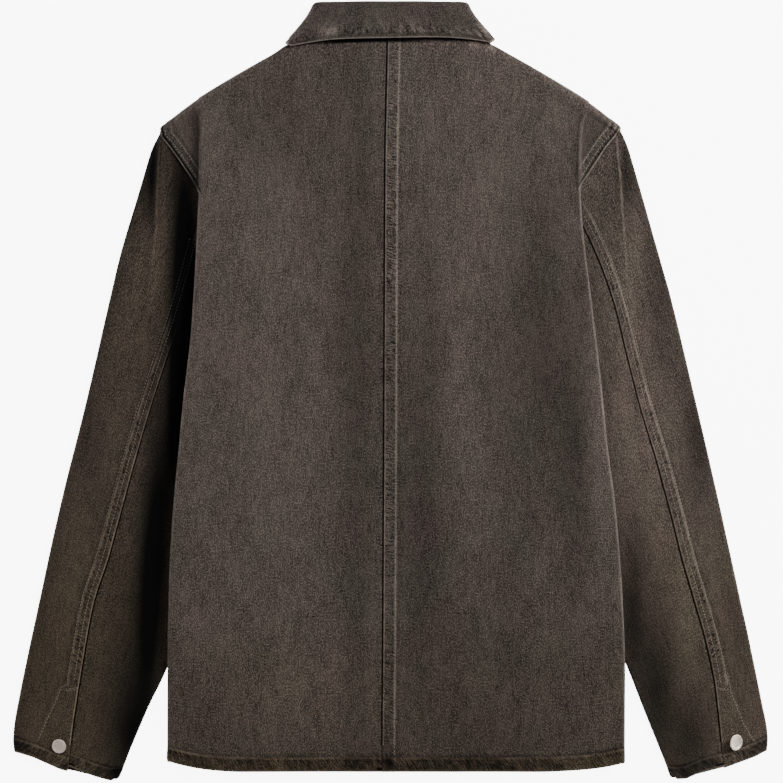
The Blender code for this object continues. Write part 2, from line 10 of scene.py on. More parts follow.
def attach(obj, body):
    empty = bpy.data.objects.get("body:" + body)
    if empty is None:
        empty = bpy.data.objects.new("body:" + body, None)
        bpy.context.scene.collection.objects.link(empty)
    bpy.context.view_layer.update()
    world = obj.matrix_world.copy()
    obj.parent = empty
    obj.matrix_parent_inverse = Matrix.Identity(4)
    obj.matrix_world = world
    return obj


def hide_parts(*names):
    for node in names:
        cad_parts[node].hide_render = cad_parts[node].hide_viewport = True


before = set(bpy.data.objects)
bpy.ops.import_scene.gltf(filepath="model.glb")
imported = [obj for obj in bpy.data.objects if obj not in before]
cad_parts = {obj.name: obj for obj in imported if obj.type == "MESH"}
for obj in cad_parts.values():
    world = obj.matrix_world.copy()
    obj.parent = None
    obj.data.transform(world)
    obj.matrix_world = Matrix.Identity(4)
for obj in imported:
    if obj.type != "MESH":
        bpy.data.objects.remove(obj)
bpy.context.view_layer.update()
print("frame loaded")

# Lengths are in mm until a mesh is made. "out" runs from the middle to the side, on both sides,
# y from hem to collar and z up, as in the solids.
mm = 0.001
names = {"left": -1, "right": 1}
cloth = 1.2
seamStep = 1.7
fellWidth = 12.5
hemTurn = 13.5
lap = 3.0
foldRadius = 2.4
shoulderRadius = 2.8
shoulderLean = 0.84         # cosine of the shoulders' slant
shoulderInset = (cloth / 2 + shoulderRadius) / shoulderLean     # what their bend takes up, from above
neckOut = 92.0              # from here in, the top edge is the neck
underarmY = 50.5
frontLap = 15.0
free = 26.0                 # seams and hems mark the cloth as far as this from their edge

bodyEdge = np.array([       # y, left out, right out
    (292, 194.0, 199.0), (270, 192.5, 192.5), (250, 191.7, 190.0), (200, 192.0, 189.4),
    (150, 194.0, 192.7), (90, 197.3, 200.0), (45, 200.7, 205.5), (8, 205.3, 209.7),
    (-50, 211.0, 215.4), (-120, 217.5, 224.5), (-185, 221.5, 229.7), (-276, 223.3, 234.0),
    (-369, 224.0, 234.0)])
armhole = np.array([        # y, left out, right out
    (263.3, 231.5, 230.3), (254, 230.6, 224.6), (245, 223.2, 216.8), (233, 214.4, 208.7),
    (212, 200.0, 195.0), (198, 192.2, 185.8), (183.5, 184.5, 176.0), (145.5, 167.0, 160.0),
    (100.5, 144.0, 139.0), (68.5, 126.0, 124.0), (50.5, 114.0, 114.0)])
sideSeam = np.array([       # y, left out, right out
    (50.5, 114.0, 114.0), (36, 109.0, 109.0), (20, 111.0, 112.0), (0, 118.0, 120.0),
    (-50, 137.0, 141.0), (-110, 151.0, 157.0), (-200, 165.0, 174.0), (-276, 171.0, 182.0),
    (-369, 178.0, 188.0)])
sideEnd = np.array([        # y, back z, front z, turn, steep
    (263, 6.2, 0.6, 0, 0), (250, 7.4, 0.6, 0, 18), (238, 8.6, 0.6, 0, 30), (225, 10.4, 0.6, 0, 30),
    (212, 11.5, 1.2, 0, 20), (200, 12.0, 2.6, 90, 0), (185, 12.2, 3.6, 178, 0),
    (167, 12.2, 4.8, 178, 0), (142, 12.2, 5.6, 178, 0), (100, 12.1, 6.2, 178, 0),
    (50.5, 12.2, 6.2, 178, 0), (36, 9.6, 7.7, 125, 0), (-276, 9.6, 7.9, 120, 0),
    (-369, 7.75, 6.25, 150, 0)])
rowSlope = np.array([(292, 0.78), (276, 0.54), (260, 0.36), (245, 0.2), (228, 0.07), (212, 0), (-369, 0)])
shoulder = np.array([(90, 352.5), (103, 345.2), (112, 340.4), (156, 315.5), (196, 290.6), (229, 265.6),
                     (232, 263.0)])
backNeck = np.array([(-6, 356.0), (50, 354.5), (94, 349.9)])
frontNeck = np.array([(-15, 292.0), (0, 292.0), (22, 295.0), (50, 309.0), (75, 329.0), (94, 349.9)])
collarEdge = np.array([(-100, 347.6), (-92, 349.8), (-60, 351.3), (0, 352.4), (60, 353.4), (88, 352.8),
                       (100, 349.4)])
frontCollarEdge = np.array([(0, 250.0), (41, 252.0), (103, 347.0)])
backSeam = np.array([(348, -3.0), (281, -4.6), (230, -5.5), (-210, -7.5), (-379, -8.7)])


def smooth(t):
    t = np.clip(t, 0.0, 1.0)
    return t * t * (3 - 2 * t)


# a smooth curve through a table's rows, flat past its ends
def through(table, at, column=1):
    order = np.argsort(table[:, 0])
    x, v = table[order, 0], table[order, column]
    at = np.clip(at, x[0], x[-1])
    chord = np.diff(v) / np.diff(x)
    inner = np.where(chord[:-1] * chord[1:] > 0, (v[2:] - v[:-2]) / (x[2:] - x[:-2]), 0.0)
    limit = 3 * np.minimum(abs(chord[:-1]), abs(chord[1:]))
    slope = np.concatenate([[chord[0]], np.clip(inner, -limit, limit), [chord[-1]]])
    i = np.clip(np.searchsorted(x, at, side="right") - 1, 0, len(x) - 2)
    h = x[i + 1] - x[i]
    t = (at - x[i]) / h
    return (v[i] * (1 + 2 * t) * (1 - t) ** 2 + slope[i] * h * t * (1 - t) ** 2
            + v[i + 1] * t * t * (3 - 2 * t) + slope[i + 1] * h * t * t * (t - 1))


def side(table, name, y):
    return through(table, y, 1 if name == "left" else 2)


def bump(t):
    return np.exp(-np.square(t))


# lengths between neighbours of a grid along one axis, and their running sum
def steps(grid, axis=0):
    return np.linalg.norm(np.diff(grid, axis=axis), axis=-1)


def summed(lengths):
    return np.concatenate([[0], np.cumsum(lengths)])


def apart(a, b):
    return np.linalg.norm(a - b, axis=-1)


# an uneven wave along a seam, -1 to 1
def ripple(t, period, seed):
    table = np.random.default_rng(seed).uniform(-1, 1, 512)
    t = np.asarray(t, float) / period + 230
    i = np.floor(t).astype(int)
    a, b = table[i % 512], table[(i + 1) % 512]
    return a + (b - a) * smooth(t - i)


# a soft uneven field over the cloth, -1 to 1
def cloudy(x, y, width, height, seed):
    table = np.random.default_rng(seed).uniform(-1, 1, (64, 64))
    x, y = np.asarray(x) / width + 30, np.asarray(y) / height + 30
    i, j = np.floor(x).astype(int), np.floor(y).astype(int)
    fx, fy = smooth(x - i), smooth(y - j)
    a, b = table[i % 64, j % 64], table[(i + 1) % 64, j % 64]
    c, d = table[i % 64, (j + 1) % 64], table[(i + 1) % 64, (j + 1) % 64]
    return (a + (b - a) * fx) * (1 - fy) + (c + (d - c) * fx) * fy


# several of them: (amount, width, height, seed)
def clouded(table, x, y):
    return sum(amount * cloudy(x, y, *shape) for amount, *shape in table)


# signed distance from a path, positive on its left as it runs, and the length along it
def fromPath(path, x, y):
    path = np.asarray(path, float)
    best, signed, along = np.full(x.shape, 1e9), np.zeros(x.shape), np.zeros(x.shape)
    start = 0.0
    for a, b in zip(path[:-1], path[1:]):
        d = b - a
        length = float(np.hypot(*d))
        px, py = x - a[0], y - a[1]
        t = np.clip((px * d[0] + py * d[1]) / length ** 2, 0, 1)
        r = np.hypot(px - t * d[0], py - t * d[1])
        closer = r < best
        best = np.where(closer, r, best)
        signed = np.where(closer, np.sign(d[0] * py - d[1] * px), signed)
        along = np.where(closer, start + t * length, along)
        start += length
    return best * signed, along


# soft creases: ridges above 0 and troughs below, each fading out at its ends
def creased(table, x, y):
    height = np.zeros(x.shape)
    for x0, y0, x1, y1, width, rise in table:
        d, t = fromPath([(x0, y0), (x1, y1)], x, y)
        length = math.hypot(x1 - x0, y1 - y0)
        fade = smooth(t / (0.35 * length)) * smooth((length - t) / (0.35 * length))
        height += rise * bump(d / width) * fade
    return height


# the way out of the cloth at each point of a grid
def outward(grid, sign=1):
    n = np.cross(np.gradient(grid, axis=0), np.gradient(grid, axis=1)) * sign
    return n / np.maximum(np.linalg.norm(n, axis=-1, keepdims=True), 1e-9)


# rounds a corner of a piece, seen from above; a and b run from it along its two sides
def roundCorner(grid, corner, a, b, radius):
    corner, a, b = (np.asarray(v, float) for v in (corner, a, b))
    a, b = a / np.linalg.norm(a), b / np.linalg.norm(b)
    outA, outB = (a @ b) * a - b, (a @ b) * b - a
    outA, outB = outA / np.linalg.norm(outA), outB / np.linalg.norm(outB)
    centre = corner + (a + b) * radius / abs(a[0] * b[1] - a[1] * b[0])
    p = grid[..., :2] - centre
    shares = p @ np.linalg.inv(np.array([outA, outB]))
    reach = np.linalg.norm(p, axis=-1)
    beyond = (shares[..., 0] > 0) & (shares[..., 1] > 0) & (reach > radius)
    grid[..., :2] = np.where(beyond[..., None], centre + p * (radius / np.maximum(reach, 1e-6))[..., None],
                             grid[..., :2])


# more rows: a smooth curve down each column, at every distance in places
def refineRows(grid, step, edgeStep, edgeDepth):
    knots = summed(steps(grid).mean(axis=1))
    total = knots[-1]
    fine = np.concatenate([np.arange(0, edgeDepth, edgeStep),
                           np.linspace(edgeDepth, total - 4, int((total - edgeDepth) / step)),
                           total - np.array([3.2, 2.5, 1.9, 1.4, 1.0, 0.6, 0.3, 0])])
    slope = np.gradient(grid, knots, axis=0)
    i = np.clip(np.searchsorted(knots, fine, side="right") - 1, 0, len(knots) - 2)
    h = (knots[i + 1] - knots[i])[:, None, None]
    t = ((fine - knots[i]) / (knots[i + 1] - knots[i]))[:, None, None]
    out = (grid[i] * (1 + 2 * t) * (1 - t) ** 2 + slope[i] * h * t * (1 - t) ** 2
           + grid[i + 1] * t * t * (3 - 2 * t) + slope[i + 1] * h * t * t * (t - 1))
    return out


# lengths across and along a grid, for the grain
def grainOf(grid):
    u, v = summed(steps(grid, 1).mean(axis=0)), summed(steps(grid).mean(axis=1))
    return np.stack(np.broadcast_arrays(u[None, :], -v[:, None]), axis=-1)


denimLook = {
    "dark": (0.0072, 0.0058, 0.0050),
    "light": (0.207, 0.167, 0.146),
    "base": 0.322,
    "cells": {              # noise: width, height, detail, offset, from, to
        "streak": (1.2, 14.0, 2.0, 0.0, 0.32, 0.68),
        "fleck": (1.0, 1.6, 1.0, 3.1, 0.3, 0.72),
        "cloud": (5.0, 15.0, 2.0, 5.3, 0.3, 0.7),
        "mottle": (26.0, 70.0, 2.0, 7.7, 0.3, 0.7),
        "hue": (42.0, 60.0, 4.0, 19.1, 0.36, 0.64)},
    "fleckPower": 1.8,
    "streak": 0.36,         # warp threads that run lighter or darker
    "fleck": 1.42,          # single yarns
    "cloud": 0.26,          # uneven wash, narrow and upright
    "mottle": 0.20,         # and broader
    # how much lighter the cloth grows where it is worn and where light is painted on
    "wearAndPaintedLight": 0.34,
    "edgeLine": 0.90,       # rubbed edge of a seam or hem
    "innerLine": 0.50,      # ridge over the turnings
    "crest": 0.34,          # rubbed fold, partly a painted highlight
    "pucker": 0.66,
    "lines": {              # from the seam in m: place, inner and outer half width
        "edgeLine": (0.0007, 0.0001, 0.001), "innerLine": (0.0115, 0.0003, 0.0016),
        "grooveShade": (0.0026, 0.0004, 0.0013)},
    "patches": (30.0, 6.0, 1.0, 1.3, 0.3, 0.65, 0.5, 1.0),      # along the rubbed lines
    "puckers": (6.0, 1.35, 1.5, 2.9, 0.3, 0.7, -0.5, 0.5, "LINEAR"),
    "cast": (0.985, 0.935, 0.74),       # of the sleeves and the hem, which are warmer
    "warmTint": (1.04, 0.985, 0.985),
    "coolTint": (0.965, 1.01, 0.955),
    "twillPitch": 1.15,
    "twillSlant": 31,
    "relief": {"twill": 0.4, "fleck": 0.8, "streak": 0.4, "cloud": 0.8},
    "puckerRelief": 2.6,
    "bump": (0.6, 0.0004),
    "roughness": 0.95,
    "specular": 0.05,
    "sheen": 0.04,
    "sheenRoughness": 0.6,
}


def node(tree, kind, inputs=None, **settings):
    made = tree.nodes.new(kind)
    for key, value in settings.items():
        setattr(made, key, value)
    for key, value in (inputs or {}).items():
        if isinstance(value, bpy.types.NodeSocket):
            tree.links.new(value, made.inputs[key])
        else:
            made.inputs[key].default_value = value
    return made


def math2(tree, operation, a, b, clamp=False):
    return node(tree, "ShaderNodeMath", {0: a, 1: b}, operation=operation, use_clamp=clamp).outputs[0]


def times(tree, a, b):
    return math2(tree, "MULTIPLY", a, b)


def plus(tree, a, b, clamp=False):
    return math2(tree, "ADD", a, b, clamp)


# a mix of two colours, each a socket or its red, green and blue
def blend(tree, share, a, b, **settings):
    a, b = (c if isinstance(c, bpy.types.NodeSocket) else (*c, 1) for c in (a, b))
    return node(tree, "ShaderNodeMix", {0: share, 6: a, 7: b}, data_type="RGBA", **settings).outputs[2]


# noise over the cloth's own grain, its cells width by height in mm
def clothNoise(tree, grain, width, height, detail, offset):
    placed = node(tree, "ShaderNodeMapping", {"Vector": grain, "Location": (offset, offset * 0.7, offset),
                                              "Scale": (1000 / width, 1000 / height, 1)})
    return node(tree, "ShaderNodeTexNoise", {"Vector": placed.outputs[0], "Scale": 1.0, "Detail": detail,
                                             "Roughness": 0.55}).outputs[0]


def fieldOf(tree, name):
    return node(tree, "ShaderNodeAttribute", attribute_name=name).outputs["Fac"]


def mapped(tree, value, low, high, start=0.0, end=1.0, kind="SMOOTHSTEP"):
    return node(tree, "ShaderNodeMapRange", {0: value, 1: low, 2: high, 3: start, 4: end},
                interpolation_type=kind).outputs[0]


def mappedNoise(tree, grain, cells):
    return mapped(tree, clothNoise(tree, grain, *cells[:4]), *cells[4:])


# 1 near a place on a scale of distance, 0 away from it
def lineAt(tree, distance, place, inner, outer):
    off = math2(tree, "ABSOLUTE", math2(tree, "SUBTRACT", distance, place), 0.0)
    return mapped(tree, off, inner, outer, 1.0, 0.0)


def newMaterial(name):
    material = bpy.data.materials.new(name)
    material.use_nodes = True
    return material, material.node_tree, material.node_tree.nodes["Principled BSDF"]


def addBump(tree, shader, strength, distance, height):
    made = node(tree, "ShaderNodeBump", {"Strength": strength, "Distance": distance, "Height": height})
    tree.links.new(made.outputs[0], shader.inputs["Normal"])


def makeDenim(name, look):
    material, tree, shader = newMaterial(name)
    grain = node(tree, "ShaderNodeUVMap", uv_map="grain").outputs[0]
    seam = node(tree, "ShaderNodeUVMap", uv_map="seam").outputs[0]
    across = node(tree, "ShaderNodeSeparateXYZ", {0: seam}).outputs[0]
    noise = {key: mappedNoise(tree, grain, cells) for key, cells in look["cells"].items()}
    noise["fleck"] = math2(tree, "POWER", noise["fleck"], look["fleckPower"])
    noise["twill"] = node(tree, "ShaderNodeTexWave", {
        "Vector": node(tree, "ShaderNodeMapping", {
            "Vector": grain, "Rotation": (0, 0, math.radians(look["twillSlant"])),
            "Scale": (1000 / look["twillPitch"], 1000 / look["twillPitch"], 1)}).outputs[0],
        "Scale": 0.318, "Distortion": 0.6, "Detail": 0.0}, wave_type="BANDS").outputs[1]
    value = 1 - 0.42 * look["fleck"] - 0.5 * (look["streak"] + look["cloud"] + look["mottle"])
    for key in ("streak", "fleck", "cloud", "mottle"):
        value = plus(tree, value, times(tree, noise[key], look[key]))
    value = times(tree, value, look["base"])
    # seams: rubbed edges, ridges over the turnings, grooves that get painted shadow, and puckers across
    # them, whose light and dark streaks are partly worn fading and partly painted light and shade
    patchy = mappedNoise(tree, grain, look["patches"])
    puckers = mappedNoise(tree, seam, look["puckers"])
    lines = {key: lineAt(tree, across, *shape) for key, shape in look["lines"].items()}
    crest = lineAt(tree, fieldOf(tree, "line"), 0.0, 0.3, 1.7)
    for key, line, field in (("edgeLine", times(tree, lines["edgeLine"], patchy), "edge"),
                             ("innerLine", times(tree, lines["innerLine"], patchy), "inner"),
                             ("crest", times(tree, crest, patchy), "crest"), ("pucker", puckers, "pucker")):
        value = plus(tree, value, times(tree, times(tree, line, fieldOf(tree, field)), look[key]))
    # wear and painted light make the cloth lighter, unevenly
    rubbedAndLit = times(tree, fieldOf(tree, "wearAndPaintedLight"), plus(tree, 0.6, times(tree, noise["fleck"], 0.95)))
    value = plus(tree, value, times(tree, rubbedAndLit, look["wearAndPaintedLight"]), True)
    tint = blend(tree, noise["hue"], look["warmTint"], look["coolTint"])
    colour = blend(tree, 1.0, blend(tree, value, look["dark"], look["light"]), tint, blend_type="MULTIPLY")
    cast = blend(tree, fieldOf(tree, "warm"), (1, 1, 1), look["cast"], clamp_factor=False)
    colour = node(tree, "ShaderNodeVectorMath", {0: colour, 1: cast}, operation="MULTIPLY").outputs[0]
    # painted shade, with painted shadow in the seams' grooves, darkens the colour
    deep = plus(tree, fieldOf(tree, "shade"), times(tree, lines["grooveShade"], fieldOf(tree, "grooveShade")))
    deep = math2(tree, "SUBTRACT", 1.0, deep, True)
    colour = node(tree, "ShaderNodeVectorMath", {0: colour, 3: deep}, operation="SCALE").outputs[0]
    tree.links.new(colour, shader.inputs["Base Color"])
    relief = times(tree, times(tree, puckers, fieldOf(tree, "pucker")), look["puckerRelief"])
    for key, share in look["relief"].items():
        relief = plus(tree, relief, times(tree, noise[key], share))
    addBump(tree, shader, *look["bump"], relief)
    shader.inputs["Roughness"].default_value = look["roughness"]
    shader.inputs["Specular IOR Level"].default_value = look["specular"]
    shader.inputs["Sheen Weight"].default_value = look["sheen"]
    shader.inputs["Sheen Roughness"].default_value = look["sheenRoughness"]
    return material


# thread or metal: a colour that varies from point to point, with a fine relief
def makeGrained(name, look):
    material, tree, shader = newMaterial(name)
    place = node(tree, "ShaderNodeTexCoord").outputs["Object"]
    noise = node(tree, "ShaderNodeTexNoise", {"Vector": place, "Scale": look["scale"],
                                              "Detail": look["detail"]}).outputs[0]
    colour = blend(tree, noise, *([c * share for c in look["colour"]] for share in look["range"]))
    # threads take the painted shade of the cloth they lie on
    if "shaded" in look:
        deep = math2(tree, "SUBTRACT", 1.0, times(tree, fieldOf(tree, "shade"), look["shaded"]), True)
        colour = node(tree, "ShaderNodeVectorMath", {0: colour, 3: deep}, operation="SCALE").outputs[0]
    tree.links.new(colour, shader.inputs["Base Color"])
    addBump(tree, shader, *look["bump"], noise)
    shader.inputs["Metallic"].default_value = look["metallic"]
    shader.inputs["Roughness"].default_value = look["roughness"]
    return material


threadLook = {"colour": (0.20, 0.167, 0.143), "range": (0.5, 1.5), "scale": 900.0, "detail": 1.0,
              "shaded": 0.85, "bump": (0.5, 0.0002), "metallic": 0.0, "roughness": 0.7}
pewterLook = {"colour": (0.66, 0.57, 0.48), "range": (0.78, 1.0), "scale": 520.0, "detail": 3.0,
              "bump": (0.35, 0.0002), "metallic": 0.6, "roughness": 0.42}
denim = makeDenim("washed denim", denimLook)
thread = makeGrained("sewing thread", threadLook)
pewter = makeGrained("pewter", pewterLook)
print("materials made")

surfaces = {}       # top of each piece, for what is sewn on it


def toObject(bm, name, material):
    mesh = bpy.data.meshes.new(name)
    bm.to_mesh(mesh)
    bm.free()
    mesh.materials.append(material)
    mesh.shade_smooth()
    thing = bpy.data.objects.new(name, mesh)
    bpy.context.collection.objects.link(thing)
    return thing


# a thin shell of cloth on a grid of its middle points
def clothPiece(name, grid, sign, thickness, fields, facing=1):
    rows, columns = grid.shape[:2]
    bm = bmesh.new()
    bmesh.ops.create_grid(bm, x_segments=columns - 1, y_segments=rows - 1, size=0.5)
    thing = toObject(bm, name, denim)
    mesh = thing.data
    flat = np.empty(len(mesh.vertices) * 3)
    mesh.vertices.foreach_get("co", flat)
    j = np.rint((flat[0::3] + 0.5) * (columns - 1)).astype(int)
    i = np.rint((flat[1::3] + 0.5) * (rows - 1)).astype(int)
    placed = grid * np.array([sign, 1, 1])
    mesh.vertices.foreach_set("co", (placed[i, j] * mm).ravel())
    corner = np.empty(len(mesh.loops), int)
    mesh.loops.foreach_get("vertex_index", corner)
    for key, places in (("grain", grainOf(grid)), ("seam", np.stack([fields["s"], fields["t"]], axis=-1))):
        mesh.uv_layers.new(name=key).data.foreach_set("uv", (places[i, j] * mm)[corner].ravel())
    for key in ("wearAndPaintedLight", "shade", "warm", "pucker", "edge", "inner", "grooveShade", "line", "crest"):
        mesh.attributes.new(key, "FLOAT", "POINT").data.foreach_set(
            "value", fields[key][i, j].astype(np.float32))
    thickness = np.broadcast_to(thickness, (rows, columns))
    thickest = float(thickness.max())
    share = np.round(thickness[i, j] / thickest, 2)
    group = thing.vertex_groups.new(name="thickness")
    for value in np.unique(share):
        group.add(np.nonzero(share == value)[0].tolist(), float(value), "REPLACE")
    wall = thing.modifiers.new("wall", "SOLIDIFY")
    wall.thickness = thickest * mm
    wall.offset = 0
    wall.vertex_group = "thickness"
    wall.thickness_vertex_group = 0.0
    n = outward(grid, facing) * np.array([sign, 1, 1])
    keep = n[..., 2] > 0.25
    surfaces[name] = (placed[keep], n[keep], thickness[keep] / 2, fields["shade"][keep])
    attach(thing, "root")
    cells = np.cross(np.diff(grid[:, :-1], axis=0), np.diff(grid[:-1], axis=1))
    area = np.linalg.norm(cells, axis=-1).sum()
    print(f"{name}: {rows * columns * 4} triangles, cloth {area / 1e6:.4f} m2")
    return thing


# thickness near a free edge, so that it is round; depth is the distance from the edge
def rounded(thickness, depth):
    r = thickness / 2
    t = np.clip(depth / r, 0, 1)
    return thickness * np.maximum(np.sqrt(1 - (1 - t) ** 2), 0.22)


# thickness of a panel, with its hem doubled and its rims thin; up runs from the hem's edge
def panelThickness(grid, up, doubled):
    depth = np.minimum(apart(grid, grid[-1:]), 9)
    hem = rounded(doubled - (doubled - cloth) * smooth((up - hemTurn) / 1.5), depth)
    rim = np.minimum(apart(grid, grid[:, :1]), apart(grid, grid[:, -1:]))
    return np.minimum(np.where(up > 20, cloth, hem), rounded(cloth + 0.3, rim + 0.05))


# what seams, hems and folds add to a piece; s and t run across and along the nearest seam
def startFields(shape):
    fields = {key: np.zeros(shape) for key in
              ("height", "wearAndPaintedLight", "shade", "warm", "pucker", "edge", "inner", "grooveShade", "crest", "t")}
    fields["s"] = np.full(shape, 60.0)
    fields["line"] = np.full(shape, 20.0)
    return fields


# a lighter line along a path, on the crest of a fold: rubbed, and on the ridges and the body's side folds
# also a painted highlight
def addLine(f, d, strength):
    nearer = abs(d) < abs(f["line"])
    f["line"] = np.where(nearer, np.clip(d, -20, 20), f["line"])
    f["crest"] = np.where(nearer, strength, f["crest"])


# a felled strip: s from its sewn edge inwards, t along it, zone where it is. Painted shade lies just past
# its inner edge, and its middle is a little darker.
def addFell(f, s, t, zone, seed, raised=1.0, strip=1.0):
    inside = smooth((s + 0.4) / 0.9) * smooth((fellWidth + 1.2 - s) / 2.0)
    wave = ripple(t + 0.3 * s, 3.4, seed) + 0.6 * ripple(t - 0.3 * s, 8.0, seed + 1)
    inStrip = smooth((s - 0.3) / 1.5) * smooth((fellWidth - s) / 2.0)
    beyond = bump((s - fellWidth) / 5.0) * (s >= fellWidth)
    height = 0.8 * raised * inside + 0.22 * bump((s - 11.6) / 0.9)
    height += 0.16 * wave * inStrip + 0.12 * ripple(t - 0.5 * s, 4.4, seed + 2) * beyond
    height -= 0.22 * bump((s - 2.0) / 0.7)
    f["height"] += zone * height * (0.4 + 0.6 * strip)
    own = (zone > 0.01) & (s > -2.5) & (s < free)
    f["s"], f["t"] = np.where(own, s, f["s"]), np.where(own, t + 0.25 * s, f["t"])
    f["pucker"] += zone * strip * (inStrip * (0.75 + 0.4 * ripple(t, 14, seed + 5)) + 0.4 * beyond)
    f["edge"] += zone * (s > -2.0) * (s < 5) * (0.75 + 0.25 * ripple(t, 21.0, seed + 3))
    f["inner"] += zone * strip * (s > 6) * (s < 18) * (0.7 + 0.3 * ripple(t, 23.0, seed + 4))
    f["shade"] += zone * strip * (0.16 * bump((s - fellWidth - 2.6) / 1.8) + 0.08 * bump((s - 7) / 3.5))


# a turned hem: h up from its edge, t along it. Its band is darker, with painted shadow just above its turn;
# its roping is lighter on the crests, partly worn and partly painted light, and darker in the troughs, in
# painted shade.
def addHem(f, h, t, zone, seed):
    inside = 1 - smooth((h - hemTurn + 0.4) / 1.6)
    roping = ripple(t + 0.55 * h, 5.5, seed) + 0.4 * ripple(t + 0.8 * h, 2.8, seed + 1)
    inBand = inside * smooth((h - 0.5) / 3)
    above = bump((h - hemTurn) / 6) * (h > hemTurn)
    height = 0.5 * inside + 0.3 * roping * inBand + 0.15 * ripple(t - 0.5 * h, 4.4, seed + 2) * above
    height -= 0.3 * bump((h - hemTurn + 1.8) / 0.8)
    f["height"] += zone * height
    own = (zone > 0.01) & (h < free)
    f["s"] = np.where(own, h * 11.9 / (hemTurn + 0.2), f["s"])
    f["t"] = np.where(own, t + 0.7 * h, f["t"])
    f["pucker"] = np.where(own, zone * (0.95 * inBand + 0.5 * above), f["pucker"])
    f["edge"] = np.where(own, zone * (h < 5) * 0.5 * (0.6 + 0.4 * ripple(t, 9, seed + 4)), f["edge"])
    inner = zone * (h > 7) * (h < 19) * (0.75 + 0.25 * ripple(t, 9, seed + 3))
    f["inner"] = np.where(own, inner, f["inner"])
    f["wearAndPaintedLight"] += zone * 0.95 * np.clip(roping, 0, 1) ** 1.5 * inBand * smooth((14 - h) / 5)
    f["warm"] = np.maximum(f["warm"], 0.8 * zone * inside)
    f["shade"] += zone * (inBand * (0.33 + 0.25 * np.clip(-roping, 0, 1))
                          + 0.5 * (0.7 + 0.3 * ripple(t, 17, seed + 6)) * bump((h - hemTurn - 2.2) / 1.5))


# broad painted light and shade: (out, y, half width, half height, amount), lighter above 0
def addPaintedLightAndShade(f, table, out, y):
    for atOut, atY, wide, tall, amount in table:
        soft = bump((out - atOut) / wide) * bump((y - atY) / tall)
        f["wearAndPaintedLight" if amount > 0 else "shade"] += abs(amount) * soft


# The back's two halves.
back = {
    "rows": [292, 276, 260, 245, 228, 212, 200, 188, 172, 148, 118, 85, 50.5, 36, 0, -50, -110, -170,
             -230, -276, -320, -355.5, -356.5, -369],
    "height": {     # y, then height at 0, 0.2 ... 1 of the way from the seam to the edge
        "left": np.array([
            (292, 8.6, 8.6, 8.5, 6.7, 6.2, 6.2), (250, 8.8, 8.4, 8.2, 8.8, 10.0, 12.5),
            (200, 9.5, 8.2, 8.8, 11.4, 15.4, 21.0), (130, 10.2, 8.5, 9.8, 14.6, 19.2, 23.5),
            (50, 10.5, 8.6, 11.2, 16.4, 20.6, 24.0), (-110, 10.2, 8.4, 10.2, 15.0, 19.4, 22.5),
            (-276, 9.8, 8.2, 9.2, 11.8, 15.5, 18.5), (-369, 9.2, 8.0, 8.6, 10.2, 12.0, 13.5)]),
        "right": np.array([
            (292, 8.6, 8.6, 8.5, 6.7, 6.2, 6.2), (250, 8.8, 9.6, 8.6, 8.8, 10.0, 12.0),
            (200, 9.5, 11.6, 10.0, 11.4, 15.4, 20.5), (130, 10.2, 12.6, 10.6, 13.6, 18.4, 23.0),
            (50, 10.5, 12.8, 11.4, 16.6, 20.4, 23.5), (-110, 10.2, 12.4, 10.2, 14.2, 18.6, 22.0),
            (-276, 9.8, 11.6, 9.6, 11.6, 14.6, 18.0), (-369, 9.2, 9.8, 8.6, 10.0, 11.6, 13.5)])},
    "creases": {    # out, y to out, y, width, rise
        "left": [(60, 250, 120, 150, 16, 0.5), (150, 60, 160, -120, 14, -0.5), (28, 320, 24, 120, 9, -0.45),
                 (24, 60, 30, -160, 8, -0.4), (110, -150, 96, -330, 15, 0.4), (206, 120, 214, -60, 7, 0.5)],
        "right": [(70, 260, 90, 90, 18, 0.6), (36, 90, 44, -40, 9, -0.5), (30, -60, 40, -200, 8, 0.35),
                  (140, -40, 120, -200, 16, -0.5), (60, -210, 70, -350, 12, 0.4),
                  (168, 150, 180, 0, 12, -0.4)]},
    "clouds": [(0.5, 46, 90, 5), (0.25, 20, 34, 6), (0.1, 9, 13, 9)],
    "paintedLightAndShade": {       # painted light and shade: out, y, half width, half height, amount
        "left": [(32, 0, 18, 420, -0.32), (60, 60, 12, 300, -0.05), (112, 290, 90, 75, -0.16),
                 (130, -20, 50, 240, 0.07), (185, -350, 60, 55, -0.24), (60, -365, 60, 30, -0.2)],
        "right": [(32, -110, 22, 190, -0.32), (75, -280, 42, 170, -0.16), (150, 60, 22, 130, -0.34),
                  (182, -60, 18, 140, -0.40), (122, -80, 16, 190, -0.14), (88, 160, 40, 170, 0.10),
                  (209, -35, 11, 90, 0.32), (120, -320, 120, 90, -0.18), (186, 250, 24, 50, -0.1),
                  (206, 150, 11, 80, -0.30), (10, -110, 12, 190, -0.12)]},
    "ridge": {      # a soft fold up to the shoulder: out, y
        "left": [(194.5, 290), (194.1, 282.5), (192.5, 269.5), (191.7, 249), (191.2, 225.5), (191.6, 196)],
        "right": [(196, 290), (195, 274.5), (192.3, 270.5), (190, 250.5), (189.4, 230.5), (189.4, 200)]},
    # the line on each ridge's crest, rubbed and with a painted highlight, and the painted shade beside the
    # ridge
    "ridgeRubAndHighlight": {"left": 0.4, "right": 0.55},
    "shadeBesideRidge": {"left": 0.5, "right": 0.1},
    "cornerDrop": {"left": 1.4, "right": 3.0},      # how far the hem's corners droop
    "tip": {"left": (232.5, 263.2), "right": (231.5, 263.2)},
    "strip": {      # round the armhole: how far it shows, its groove's painted shadow, its painted shade and its seed
        "left": (0.6, 0.85, 0.22, 44), "right": (1.0, 0.6, 0.05, 41)},
    # the lighter line on the body's side fold, partly rubbed and partly a painted highlight
    "edgeRubAndHighlight": {"left": 0.45, "right": 0.6},
}


